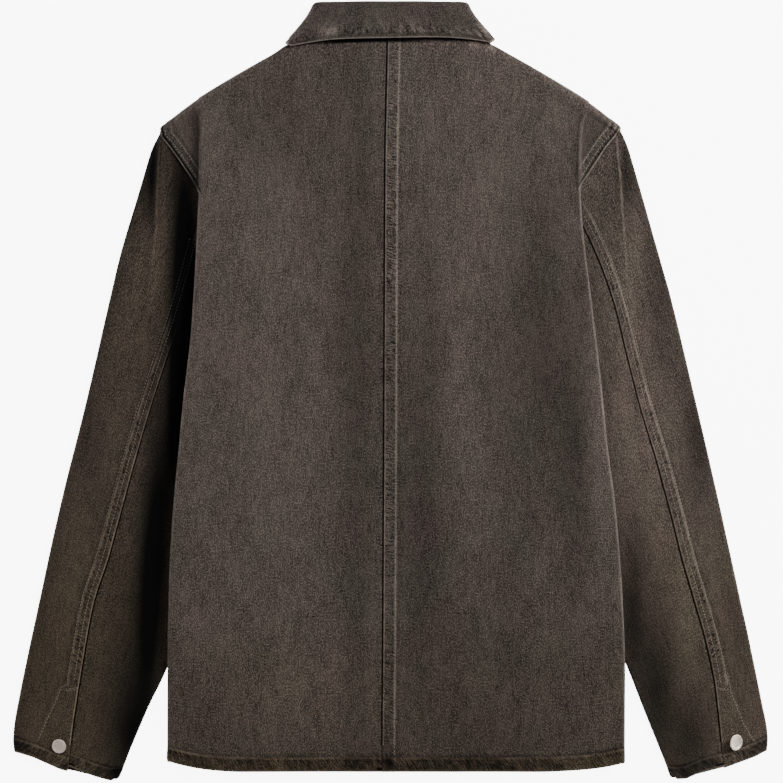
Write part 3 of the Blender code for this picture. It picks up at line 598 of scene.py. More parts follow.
def seamOut(name, y):
    return names[name] * through(backSeam, y)


# the hem is level across the middle and rises to the side folds
def hemY(u):
    return -380.6 + 12 * np.clip((u - 0.62) / 0.38, 0, 1) ** 2.2


def backZ(name, u, y):
    across = np.array([through(back["height"][name], y, c) for c in range(1, 7)])
    return float(through(np.column_stack([np.linspace(0, 1, 6), across]), u))


def frontZ(name, out, y):
    edge = np.interp(abs(out), frontCollarEdge[:, 0], frontCollarEdge[:, 1])
    lift = 3.0 * max(smooth((46 - abs(out)) / 20), smooth((y - edge + 28) / 16))
    upper = seamStep * smooth((30 - out) / 12) if name == "right" else 0
    return cloth / 2 + lift + upper


def frontFold(name, y):
    edge = side(bodyEdge, name, y) - cloth / 2
    return edge - 3.0 * smooth((196 - y) / 24)


# section of a wall that turns over a fold and runs to its end; down is 1 or -1
def foldedRun(out, z, radius, extra, endOut, endZ, endTurn, down, arcSteps, runSteps):
    centreZ = z - down * radius
    ex, ez = endOut - out, down * (endZ - centreZ)
    turn = math.asin(min(1.0, radius / math.hypot(ex, ez))) - math.atan2(ez, ex)
    turn = min(max(turn, 0.0) + (math.radians(extra) if turn > 0.02 else 0.0), math.radians(179))
    a = np.linspace(0, turn, 24)
    arc = np.column_stack([out + radius * np.sin(a), centreZ + down * radius * np.cos(a)])
    p0, p1 = arc[-1], np.array([endOut, endZ])
    reach = np.linalg.norm(p1 - p0)
    last = math.radians(endTurn)
    t0 = reach * np.array([math.cos(turn), -down * math.sin(turn)])
    pull = min(0.4 * reach, 9.0) if endTurn > 5 else reach
    t1 = pull * np.array([math.cos(last), -down * math.sin(last)])
    t = np.linspace(0, 1, 40)[1:, None]
    run = ((1 + 2 * t) * (1 - t) ** 2 * p0 + t * (1 - t) ** 2 * t0
           + t * t * (3 - 2 * t) * p1 + t * t * (t - 1) * t1)
    line = np.vstack([arc, run])
    length = summed(steps(line))
    arcLength = max(radius * turn, 0.16 * length[-1])
    places = np.concatenate([np.linspace(0, arcLength, arcSteps + 1),
                             np.linspace(arcLength, length[-1], runSteps + 1)[1:]])
    return np.column_stack([np.interp(places, length, line[:, k]) for k in (0, 1)])


# where a row that passes the fold at y ends: on the armhole, or on the side seam
def endOfRow(name, y, foldOut):
    if y <= underarmY:
        return side(sideSeam, name, y), y
    slope = through(rowSlope, y)
    endY = y
    for _ in range(40):
        endOut = side(armhole, name, endY)
        endY = 0.5 * endY + 0.5 * (y - slope * max(0.0, endOut - foldOut))
    return side(armhole, name, endY), endY


# a point of the top row carried over the shoulder's edge; the neck's edge stays flat
def turnEdge(point, turned, isBack):
    out, y, z = point
    down = 1 if isBack else -1
    if out < neckOut:
        return out, y + (0.6 if turned == 1 else 1.4), z
    middle = 3.4 + 2.35 * smooth((165 - out) / 66)
    radius = abs(z - middle)
    a = math.radians(45 * turned)
    edge = y + shoulderInset
    inset = cloth / 2 + radius * (1 - math.sin(a))
    return out, edge - inset / shoulderLean, middle + down * max(radius * math.cos(a), 0.5)


# points of a back or a front: the shoulder's turned edge, then a row for each height at the fold
def panelRows(name, layer, rows, mainColumns, arcSteps, runSteps):
    isBack = layer == "back"
    down = 1 if isBack else -1
    topY, bottomY = rows[0], rows[-1]
    grid = []
    for k, y in enumerate([topY, topY] + list(rows)):
        turned = max(0, 2 - k)                  # 2 on the shoulder's very edge, 1 on its bend
        f = (topY - y) / (topY - bottomY)
        foldOut = side(bodyEdge, name, y) - cloth / 2 if isBack else frontFold(name, y)
        endOut, endY = endOfRow(name, y, foldOut)
        endZ = through(sideEnd, endY, 1 if isBack else 2)
        endTurn = through(sideEnd, endY, 3)
        if y > 60:
            beyond = (endOut - foldOut) / (16 if isBack else 5)
            endTurn = min(178.0, 90 * (1 - float(np.clip(beyond, -1, 1))))
        extra = through(sideEnd, endY, 4) if isBack else 8 * (y < 60)
        radius = foldRadius
        if not isBack:
            radius = float(np.clip((endZ - cloth / 2) / 2, 1.0, foldRadius))
        if k <= 2:
            foldOut, endOut, endTurn = side(bodyEdge, name, topY), side(armhole, name, 300), 0
        columns = []
        last = foldOut - radius
        for u, offset in mainColumns:
            topStart = seamOut(name, topY) + offset if isBack else -frontLap
            topOut = topStart + u * (side(bodyEdge, name, topY) - cloth / 2 - foldRadius - topStart)
            rowTop = through(backNeck if isBack else frontNeck, topOut)
            if topOut > neckOut:
                rowTop = through(shoulder, topOut) - shoulderInset
            yy = rowTop + f * (hemY(u) - rowTop)
            start = seamOut(name, yy) if isBack else -frontLap
            reach = (side(bodyEdge, name, yy) - cloth / 2 if isBack else frontFold(name, yy)) - radius
            if k <= 2:
                reach = last
            out = start + offset + u * (reach - start - offset)
            columns.append((out, yy, backZ(name, u, yy) if isBack else frontZ(name, out, yy)))
        z = columns[-1][2]
        if k <= 2:
            endZ = z
        for out, zz in foldedRun(last, z, radius, extra, endOut, endZ, endTurn, down,
                                 arcSteps, runSteps)[1:]:
            if k <= 2:
                yy = through(shoulder, out) - shoulderInset
            else:
                yy = y - through(rowSlope, y) * max(0.0, out - last - radius)
            columns.append((out, yy, zz))
        if turned:
            columns = [turnEdge(p, turned, isBack) for p in columns]
        grid.append(columns)
    return np.array(grid)


def makeBack(name):
    isRight = name == "right"
    if isRight:
        near = [*np.arange(0, fellWidth + 3, 0.9), 17.5, 20, 23, 27]
    else:
        near = [-lap, -1, 0, 0.5, 1, 1.6, 2.3, 3.2, 4.4, 6, 8, 11, 15, 20]
    main = [(0, s) for s in near]
    main += [(u, near[-1] * (1 - u)) for u in np.linspace(0, 1, 34)[1:]]
    grid = panelRows(name, "back", back["rows"], main, 9, 22)
    grid = refineRows(grid, 1.75, 0.9, 7.2)
    out, y = grid[..., 0], grid[..., 1]
    x = out * names[name]
    s = out - seamOut(name, y)
    n = outward(grid)
    top = smooth(n[..., 2] / 0.5)
    f = startFields(out.shape)
    f["height"] += creased(back["creases"][name], out, y) + clouded(back["clouds"], x, y)
    if isRight:
        f["height"] *= smooth((s + 2) / 14)
        addFell(f, s, y, np.ones(out.shape), 21)
    else:
        f["height"] -= (2.0 - 0.9 * smooth((y - 275) / 15)) * (1 - smooth((s + 0.4) / 2.2))
        f["height"] += 0.14 * ripple(y + 0.5 * s, 4.4, 31) * bump(s / 6)
        own = s < 9
        f["s"], f["t"] = np.where(own, s + 1.7, 60.0), np.where(own, y, 0.0)
        # painted shadow in the groove under the right half's strip, and painted shade just beside it
        f["grooveShade"] = 0.96 * own * (s < 5)
        f["pucker"] = own * 0.45 * bump((s - 1) / 7)
        f["shade"] += 0.12 * bump((s - 3) / 3.5)
    roundCorner(grid, back["tip"][name], (-0.81, 0.58), (-0.5, -0.87), 4.0)
    # the strip round the armhole, down to where the body's side fold hides it, with painted shadow in its
    # groove and painted shade beside it
    edge = side(bodyEdge, name, y) - cloth / 2
    d, t = fromPath([(side(armhole, name, row[0]), row[0]) for row in armhole[:7]], out, y)
    zone = smooth((out - edge + 5) / 6) * smooth((y - 176) / 10) * (abs(d) < 40)
    plain, grooveShade, shade, seed = back["strip"][name]
    addFell(f, -d, t, zone * plain, seed, 0.35)
    f["grooveShade"] += grooveShade * zone * (d < 1) * (d > -6)
    f["shade"] += shade * zone * smooth((2 - d) / 2) * smooth((d + 16) / 3)
    # a soft fold runs up from the body's side fold to the shoulder, with a lighter line on its crest,
    # partly rubbed and partly a painted highlight, and painted shade beside it
    ridge, _ = fromPath(back["ridge"][name], out, y)
    fade = smooth((y - 196) / 10) * smooth((286 - y) / 14)
    addLine(f, ridge, back["ridgeRubAndHighlight"][name] * fade)
    beside = smooth((out - edge + 0.6) / 1.6) * bump((out - edge - 2) / 8.0) * fade
    f["shade"] += back["shadeBesideRidge"][name] * beside
    f["height"] -= 0.8 * beside
    up = y - grid[-1:, :, 1]
    addHem(f, up, x, (up < 30) * top, 51)
    # a lighter line on the body's side fold, partly rubbed and partly a painted highlight
    addLine(f, out - edge + 0.7, back["edgeRubAndHighlight"][name] * smooth((204 - y) / 6))
    # broad painted light and shade
    addPaintedLightAndShade(f, back["paintedLightAndShade"][name], out, y)
    f["warm"] += 0.35 * smooth((-180 - y) / 120)
    if isRight:
        f["shade"] += smooth((-165 - y) / 90) * (0.16 * bump((s - 6) / 8) + 0.09 * smooth((-310 - y) / 40))
    # painted shadow below the collar's edge, and puckers there with lighter slanted streaks, partly worn
    # and partly painted light
    under = np.interp(x, collarEdge[:, 0], collarEdge[:, 1]) - y
    f["shade"] += 0.94 * smooth((4.4 - under) / 1.7)
    slanted = np.clip(ripple(x + 0.7 * under, 3.1, 55), 0, 1)
    f["wearAndPaintedLight"] += 1.4 * slanted * bump((under - 6) / 5) * smooth((x - 20) / 40)
    f["height"] += 0.2 * ripple(x + 0.7 * under, 3.6, 56) * bump((under - 4) / 7)
    grid = grid + n * (f["height"] * top)[..., None]
    if name == "left":      # the shoulder runs up to the collar's corner
        grid[..., 1] += 1.9 * bump((out - 105) / 9) * smooth((y - 330) / 12)
    share = s / (edge - seamOut(name, y))
    droop = 1.2 + back["cornerDrop"][name] * smooth((share - 0.72) / 0.28)
    grid[..., 1] -= droop * smooth((60 - up) / 60)
    outermost = int(np.argmax(grid[-1, :, 0]))
    roundCorner(grid, grid[-1, outermost, :2], (0.02, 1), (-1, -0.17), 3.5)
    piece = clothPiece(f"back_{name}_denim", grid, names[name], panelThickness(grid, up, 2.3), f)
    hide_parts(f"back_{name}")


for name in names:
    makeBack(name)
print("backs made")

# The fronts, hidden below.
front = {
    "rows": [292, 268, 248, 228, 212, 200, 188, 172, 148, 100, 50.5, 36, -10, -80, -160, -230, -300,
             -355.5, -369],
    "placketStitch": 27.0,
}


def makeFront(name):
    main = [(u, 0) for u in np.linspace(0, 1, 40)]
    grid = panelRows(name, "front", front["rows"], main, 7, 12)
    grid = refineRows(grid, 3.2, 1.5, 6.0)
    grid[..., 2] = np.maximum(grid[..., 2], cloth / 2)
    out, y = grid[..., 0], grid[..., 1]
    up = y - grid[-1:, :, 1]
    f = startFields(out.shape)
    addHem(f, up, out * names[name], (up < 30) * 1.0, 61)
    placket = out + frontLap
    f["wearAndPaintedLight"] += 0.5 * bump(placket) + 0.3 * bump(placket - front["placketStitch"])
    piece = clothPiece(f"front_{name}_denim", grid, names[name], cloth, f, -1)
    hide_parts(f"front_{name}")


for name in names:
    makeFront(name)
print("fronts made")

# The sleeves, each a top part outside its back seam and an under part inside it.
sleeve = {
    "outer": np.array([     # y, left out, right out
        (263.3, 231.5, 230.3), (255, 234.6, 234.0), (240, 240.0, 238.5), (190, 255.0, 253.0),
        (140, 270.0, 267.0), (90, 282.0, 281.0), (-10, 305.0, 305.0), (-110, 330.0, 328.0),
        (-210, 352.0, 350.0), (-310, 373.0, 371.0), (-350, 378.5, 377.5), (-362.5, 377.0, 376.5)]),
    "inner": np.array([
        (51, 113.0, 113.0), (46, 123.0, 123.0), (38, 131.0, 131.0), (-10, 149.0, 150.0),
        (-60, 162.0, 165.0), (-110, 174.0, 179.0), (-210, 201.0, 208.0), (-276, 224.0, 236.5),
        (-320, 245.0, 254.0), (-376.5, 269.0, 277.0), (-387.5, 274.0, 281.0)]),
    "seam": np.array([
        (200, 174.5, 172.0), (180, 181.0, 184.0), (140, 192.0, 204.0), (90, 205.7, 222.7),
        (30, 225.5, 237.8), (-20, 241.8, 250.6), (-70, 256.4, 266.0), (-130, 272.8, 282.1),
        (-170, 283.7, 292.1), (-210, 297.0, 303.8), (-250, 305.0, 315.2), (-290, 311.6, 323.9),
        (-330, 317.8, 328.8), (-380, 324.5, 334.0)]),
    "length": 640.0,
    "hiddenSeam": 26.0,
    "ventTop": -300,
    "cuffLap": 18.0,
    "cuffDrop": {       # lower edge of the cuff, by the distance out from its back seam
        "left": {"top": ((-2, 1, 7, 25, 35, 50), (5, 6, 6, 2.8, 0.8, 0)),
                 "under": ((-51, -43, -29, -17, -3, 10), (2, 5.3, 5, 3.3, 0.5, 0.5))},
        "right": {"top": ((0, 15, 32, 42), (4.5, 3.1, 1.5, -1)),
                  "under": ((-54, -48, -38, -23, -3, 10), (0, 3.5, 5.5, 2.4, 2.5, 2.5))}},
    "creases": {    # out, y to out, y, width, rise
        "left": [(235, 160, 246, 60, 6, 0.6), (214, 226, 206, 100, 9, -1.4),
                 (250, 236, 262, 110, 8, -0.9), (258, 60, 286, -60, 9, -0.7), (244, 40, 268, -120, 8, 0.6),
                 (300, -60, 322, -190, 10, 0.7), (318, -150, 344, -250, 9, -0.5),
                 (205, -60, 226, -190, 12, 0.7), (240, -150, 262, -290, 11, -0.8),
                 (268, -230, 286, -350, 9, 0.6), (336, -270, 352, -340, 8, 0.5)],
        "right": [(236, 130, 244, 20, 6, 0.8), (206, 236, 214, 120, 9, -1.3),
                  (246, 230, 256, 110, 8, -0.8), (262, 60, 288, -70, 9, -0.6), (240, 30, 262, -90, 5, 1.0),
                  (300, -40, 322, -200, 10, 0.8), (320, -150, 344, -260, 9, -0.5),
                  (216, -60, 238, -190, 12, 0.7), (252, -130, 268, -280, 11, -0.9),
                  (284, -230, 300, -350, 9, 0.6), (344, -270, 356, -340, 8, 0.5)]},
    "clouds": [(0.45, 24, 60, 71), (0.25, 12, 24, 72)],
    "ridge": {      # a sharp fold down the upper sleeve: out, y
        "left": [(231, 253.5), (233.1, 225.5), (234.3, 195.5), (235, 163.5), (239, 123.5), (243, 100)],
        "right": [(225.9, 254), (227.6, 230.5), (229.5, 216.5), (232, 176.5), (235, 136.5), (237.6, 96.5),
                  (243, 60)]},
    "paintedLightAndShade": {       # painted light and shade: out, y, half width, half height, amount
        "left": [(207, 150, 18.5, 190, -0.97), (206, 0, 17, 120, -0.8), (228, -90, 17, 120, -0.45),
                 (240, -200, 18, 160, -0.80), (266, -280, 30, 130, -0.52), (262, -360, 24, 60, -0.5),
                 (246, 208, 14, 44, -0.40), (262, 40, 26, 90, -0.12), (298, -80, 20, 90, -0.2),
                 (325, -310, 30, 70, -0.2)],
        "right": [(239, 214, 13, 36, -0.34), (232, 190, 12, 60, -0.1), (238, 95, 10, 90, 0.34),
                  (206, 165, 13, 62, -0.30), (266, -75, 17, 110, 0.34), (240, -40, 14, 90, 0.26),
                  (241, -222, 16, 90, -0.72), (266, -300, 19, 84, -0.70), (300, -350, 22, 50, -0.55),
                  (308, -50, 15, 75, -0.42), (296, -165, 16, 100, 0.28),
                  (270, 95, 13, 96, -0.3), (330, -280, 40, 70, -0.1)]},
    # the ridge's crest line, rubbed and with a painted highlight
    "ridgeRubAndHighlight": {"left": 1.2, "right": 1.9},
    "warm": {"left": 0.62, "right": 0.22},
    # painted shade towards the outer edge, and beside the ridge
    "edgeShade": {"left": 0.30, "right": 0.14},
    "shadeBesideRidge": {"left": 0.45, "right": 0.2},
    "facing": {     # the line of stitches that slants from the vent's facing to the cuff
        "left": [(330, -297.5), (335.5, -311.5), (344, -328.5), (353.3, -350.5)],
        "right": [(337, -283.5), (341, -304.5), (349.7, -324.5), (352, -331.5), (361.8, -348.5),
                  (365, -353)]},
}


# points of the armhole's seam, a share u of the way from shoulder tip to underarm
def alongArmhole(name, u):
    y = np.linspace(armhole[0, 0], armhole[-1, 0], 240)
    out = side(armhole, name, y)
    length = summed(np.hypot(np.diff(out), np.diff(y)))
    return np.interp(u * length[-1], length, out), np.interp(u * length[-1], length, y)


def sleeveRoot(name, u):
    start = np.clip(u, 0, 0.99)
    out0, y0 = alongArmhole(name, start)
    out1, y1 = alongArmhole(name, start + 0.01)
    length = np.hypot(out1 - out0, y1 - y0)
    out, y = alongArmhole(name, u)
    return (out + 2.2 * (y1 - y0) / length,
            y - 2.2 * (out1 - out0) / length - 1.5 * (1 - smooth(u * 20)))


def sleeveEdge(name, table, start, v):
    y = start[1] + v * (table[-1, 0] - start[1])
    shift = (1 - smooth(v * 25)) * (start[0] - side(table, name, start[1]))
    return side(table, name, y) + shift, y


# the sleeve from above: u from its outer edge to its inner one, v from armhole to cuff
def sleevePlan(name, u, v):
    root = sleeveRoot(name, u)
    root0, root1 = sleeveRoot(name, 0.0), sleeveRoot(name, 1.0)
    outer, inner = sleeveEdge(name, sleeve["outer"], root0, v), sleeveEdge(name, sleeve["inner"], root1, v)
    cuff0, cuff1 = (sleeveEdge(name, sleeve["outer"], root0, 1.0),
                    sleeveEdge(name, sleeve["inner"], root1, 1.0))
    return [(1 - u) * outer[k] + u * inner[k]
            + (1 - v) * root[k] + v * (cuff0[k] + u * (cuff1[k] - cuff0[k]))
            - (1 - u) * (1 - v) * root0[k] - u * (1 - v) * root1[k]
            - (1 - u) * v * cuff0[k] - u * v * cuff1[k] for k in (0, 1)]


def sleeveLevels(name, u, v):
    out, y = sleevePlan(name, u, v)
    fold = side(bodyEdge, name, y)
    over = smooth((fold + 34 - out) / 30) * smooth((236 - y) / 68) * (1 - smooth((-284 - y) / 70))
    low = cloth / 2 + 6.9 * over
    puff = 4.2 + 3.6 * np.sin(math.pi * np.clip(u, 0, 1)) ** 0.8
    thick = (puff * (1 - over) + 3.4 * over) * (1 - 0.25 * smooth((v - 0.85) / 0.15))
    high = low + thick
    rootY = alongArmhole(name, u)[1]
    near = 1 - smooth(v * sleeve["length"] / 34)
    low = low + near * (through(sideEnd, rootY, 2) + seamStep - low)
    high = high + near * (through(sideEnd, rootY, 1) - seamStep - high)
    return low, high


def sleeveWidth(name, v):
    outer, inner = sleevePlan(name, 0.0, v), sleevePlan(name, 1.0, v)
    return np.hypot(inner[0] - outer[0], inner[1] - outer[1])


# share u at which each row v crosses the visible back seam
def seamShare(name, v):
    low, high = np.zeros_like(v), np.ones_like(v)
    for _ in range(30):
        u = (low + high) / 2
        out, y = sleevePlan(name, u, v)
        outside = out > side(sleeve["seam"], name, y)
        low, high = np.where(outside, u, low), np.where(outside, high, u)
    return (low + high) / 2


def sleeveFlat(name, v, distance, onTop):
    u = distance / sleeveWidth(name, v)
    out, y = sleevePlan(name, u, v)
    low, high = sleeveLevels(name, u, v)
    return np.column_stack([out, y, high if onTop else low])


def sleeveBend(name, v, fromInner, degrees):
    low, high = sleeveLevels(name, 1.0 if fromInner else 0.0, v)
    angle = math.radians(degrees)
    u = (high - low) / 2 * (1 - math.cos(angle)) / sleeveWidth(name, v)
    if fromInner:
        u = 1 - u
    out, y = sleevePlan(name, u, v)
    low, high = sleeveLevels(name, u, v)
    return np.column_stack([out, y, (low + high) / 2 + (high - low) / 2 * math.sin(angle)])


sleeveRows = np.concatenate([np.linspace(0, 0.03, 16), np.linspace(0.03, 0.994, 350)[1:],
                             [0.9955, 0.997, 0.9982, 0.9991, 1.0]])
bends = np.linspace(90, -90, 11)
topSteps = np.concatenate([np.arange(0, fellWidth + 2.4, 0.93), [16.5]])      # away from the back seam
underSteps = np.array([0.4, 1.2, 2.2, 3.6, 5.5])


def makeSleeveTop(name):
    v = sleeveRows
    width = sleeveWidth(name, v)
    seam = seamShare(name, v) * width
    low, high = sleeveLevels(name, 0.0, v)
    radius = (high - low) / 2
    columns = [sleeveFlat(name, v, seam - np.minimum(step, seam * 0.6), True) for step in topSteps]
    start = seam - np.minimum(topSteps[-1], seam * 0.6)
    columns += [sleeveFlat(name, v, radius + share * (start - radius), True)
                for share in np.linspace(1, 0, 44)[1:-1]]
    columns += [sleeveBend(name, v, False, angle) for angle in bends]
    end = width - sleeve["hiddenSeam"]
    columns += [sleeveFlat(name, v, radius + share * (end - radius), False)
                for share in np.linspace(0, 1, 14)[1:]]
    finishSleeve(name, np.stack(columns, axis=1), True)


def makeSleeveUnder(name):
    v = sleeveRows
    width = sleeveWidth(name, v)
    seam = seamShare(name, v) * width
    low, high = sleeveLevels(name, 1.0, v)
    last = width - (high - low) / 2
    y = sleevePlan(name, seam / width, v)[1]
    inVent = smooth((sleeve["ventTop"] + 6 - y) / 12)
    reach = lap + (sleeve["cuffLap"] - lap) * inVent
    columns = [sleeveFlat(name, v, seam - share * reach, True) for share in (1, 0.6, 0.2)]
    columns += [sleeveFlat(name, v, seam + s, True) for s in underSteps]
    columns += [sleeveFlat(name, v, seam + 5.5 + share * (last - seam - 5.5), True)
                for share in np.linspace(0, 1, 22)[1:-1]]
    columns += [sleeveBend(name, v, True, angle) for angle in bends]
    columns += [sleeveFlat(name, v, width - s, False) for s in (16, sleeve["hiddenSeam"] + 0.3)]
    grid = np.stack(columns, axis=1)
    near = 1 - smooth(v * sleeve["length"] / 90)
    sink = (1.0 + 0.6 * np.maximum(near, inVent))[:, None] * np.array([1, 1, 1, 0.8, 0.35, 0.1])[None, :]
    grid[:, :6, 2] -= sink
    finishSleeve(name, grid, False)


# creases, seams and hem of one part of a sleeve
def finishSleeve(name, grid, isTop):
    part, facing = ("top", 1) if isTop else ("under", -1)
    out, y = grid[..., 0], grid[..., 1]
    x = out * names[name]
    n = outward(grid, facing)
    top = smooth(n[..., 2] / 0.5)
    t = np.broadcast_to((sleeveRows * sleeve["length"])[:, None], out.shape)
    f = startFields(out.shape)
    f["height"] += creased(sleeve["creases"][name], out, y) * smooth(t / 14)
    f["height"] += clouded(sleeve["clouds"], x, y)
    s = np.full(out.shape, 60.0)
    if isTop:
        s[:, :len(topSteps)] = topSteps
        addFell(f, s, t, smooth(t / 40) * (s < 30), 81, 1.0, smooth((y - sleeve["ventTop"] - 2) / 5))
        # the sharp fold down the upper sleeve: a lighter line on its crest, partly rubbed and partly a
        # painted highlight, and painted shade beside it
        d, along = fromPath(sleeve["ridge"][name], out, y)
        fade = smooth((along + 4) / 12) * smooth((180 - along) / 150) * (y < 256)
        f["height"] += 1.1 * np.where(d > 0, bump(d / 3.4), bump(d / 9.0)) * fade
        addLine(f, d, sleeve["ridgeRubAndHighlight"][name] * fade)
        f["shade"] += sleeve["shadeBesideRidge"][name] * bump((d - 4.5) / 5) * fade
        # the slanting stitches of the vent's facing
        d, along = fromPath(sleeve["facing"][name], out, y)
        f["height"] += 0.16 * ripple(along, 3.4, 83) * bump(d / 4) - 0.3 * bump(d / 0.9)
        addLine(f, d - 0.8, 0.75 * (0.6 + 0.4 * ripple(along, 8, 84)))
    else:
        s[:, :8] = np.concatenate([[-3, -1.8, -0.6], underSteps]) + seamStep
        f["s"], f["t"] = s, t
        # painted shadow in the groove beside the top part's strip
        f["grooveShade"] = 0.96 * (s < 7.5) * smooth(t / 60)
        f["pucker"] = 0.4 * (s < 7.5)
    up = sleeve["length"] - t
    addHem(f, up, out, (up < 30) * top, 91)
    # gathered a little under the body's edge
    f["height"] += 0.25 * ripple(np.hypot(out - 240, y - 60), 4.0, 95) * bump(t / 9)
    # broad painted light and shade
    addPaintedLightAndShade(f, sleeve["paintedLightAndShade"][name], out, y)
    f["warm"] = sleeve["warm"][name] + 0.35 * smooth((-60 - y) / 200)
    # painted shade towards the sleeve's outer edge, and a little darker all over
    f["shade"] += sleeve["edgeShade"][name] * bump((side(sleeve["outer"], name, y) - out) / 15) + 0.04
    grid = grid + n * (f["height"] * top)[..., None]
    if isTop:
        grid[..., 2] += 0.3 * top * smooth(t / 60)
    # the cuff's edge isn't quite straight
    fromSeam = out - side(sleeve["seam"], name, y)
    grid[..., 1] -= smooth((46 - up) / 46) * np.interp(fromSeam, *sleeve["cuffDrop"][name][part])
    if isTop:
        end = int(np.argmax(grid[-1, :, 0]))
        roundCorner(grid, grid[-1, end, :2], (0.05, 1), (-1, -0.3), 2.5)
    else:
        end = int(np.argmin(grid[-1, :, 0]))
        roundCorner(grid, grid[-1, end, :2], (-0.34, 0.94), (0.96, 0.2), 5.0)
    nodeName = f"sleeve_{part}_{name}"
    piece = clothPiece(f"{nodeName}_denim", grid, names[name], panelThickness(grid, up, 2.0), f, facing)
    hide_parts(nodeName)


for makeSleeve in (makeSleeveTop, makeSleeveUnder):
    for name in names:
        makeSleeve(name)
print("sleeves made")

collar = {
    "wall": 1.8,
    "depth": 47.0,          # from its roll to its edge
    "rollY": 389.2,
    "rollRadius": 1.5,
    "rollCorner": np.array([77.5, 387.5]),
    "edgeCorner": np.array([102.5, 347.0]),
    "rollEnd": np.array([4.0, 309.0]),
    "point": np.array([41.0, 253.0]),
    "rollUnder": 6.0,
    "standEnd": 38.0,
    "clouds": [(0.5, 26, 16, 103), (0.25, 11, 9, 104)],
}


def ringLevels(rho, x, isRight, share):
    top = 8.6 - 0.7 * smooth((abs(x) - 50) / 40) + rho * (3.0 + 1.4 * share)
    upper = seamStep * smooth((30 - abs(x)) / 12) if isRight else 0.0
    return top, 3.6 + upper - rho * (2.4 + upper)


def ringSide(c, rho, isRight):
    c = c * (0.9 if isRight else 0.94)
    down = collar["edgeCorner"] - collar["rollCorner"]
    down = down / np.linalg.norm(down)
    across = np.array([-down[1], down[0]])
    top, bottom = ringLevels(rho, 100, False, c / collar["depth"] * rho)
    radius = (top - bottom) / 2
    fold = collar["rollCorner"] + c * down - across * (collar["wall"] / 2 + (1 - rho) * 2.9)
    return fold - across * radius, across, top, bottom, radius


def ringPoint(station, kind, c, rho, backY, frontPlan):
    isRight = kind.endswith("right") or (kind == "back" and station > 0)
    middle, across, top, bottom, radius = ringSide(c, rho, isRight)
    share = c / collar["depth"]
    if kind == "back":
        x = station * middle[0]
        y = middle[1] + (backY(x) - middle[1]) * (1 - abs(station) ** 4)
        z = ringLevels(rho, x, False, share)[0]
        return x, y, z + (top - z) * abs(station) ** 4
    sign = 1 if isRight else -1
    if kind.startswith("side"):
        a = math.radians(station)
        plan = middle + across * radius * math.cos(a)
        return sign * plan[0], plan[1], (top + bottom) / 2 + radius * math.sin(a)
    plan = middle + station * (frontPlan - middle)
    return sign * plan[0], plan[1], ringLevels(rho, plan[0], sign > 0, share)[1]


def ringStations(frontSteps, sideSteps, backSteps):
    fronts = np.linspace(1, 0, frontSteps)
    sides = np.linspace(-90, 90, sideSteps + 2)[1:-1]
    return ([("front left", t) for t in fronts] + [("side left", a) for a in sides]
            + [("back", t) for t in np.linspace(-1, 1, backSteps)]
            + [("side right", a) for a in sides[::-1]] + [("front right", t) for t in fronts[::-1]])


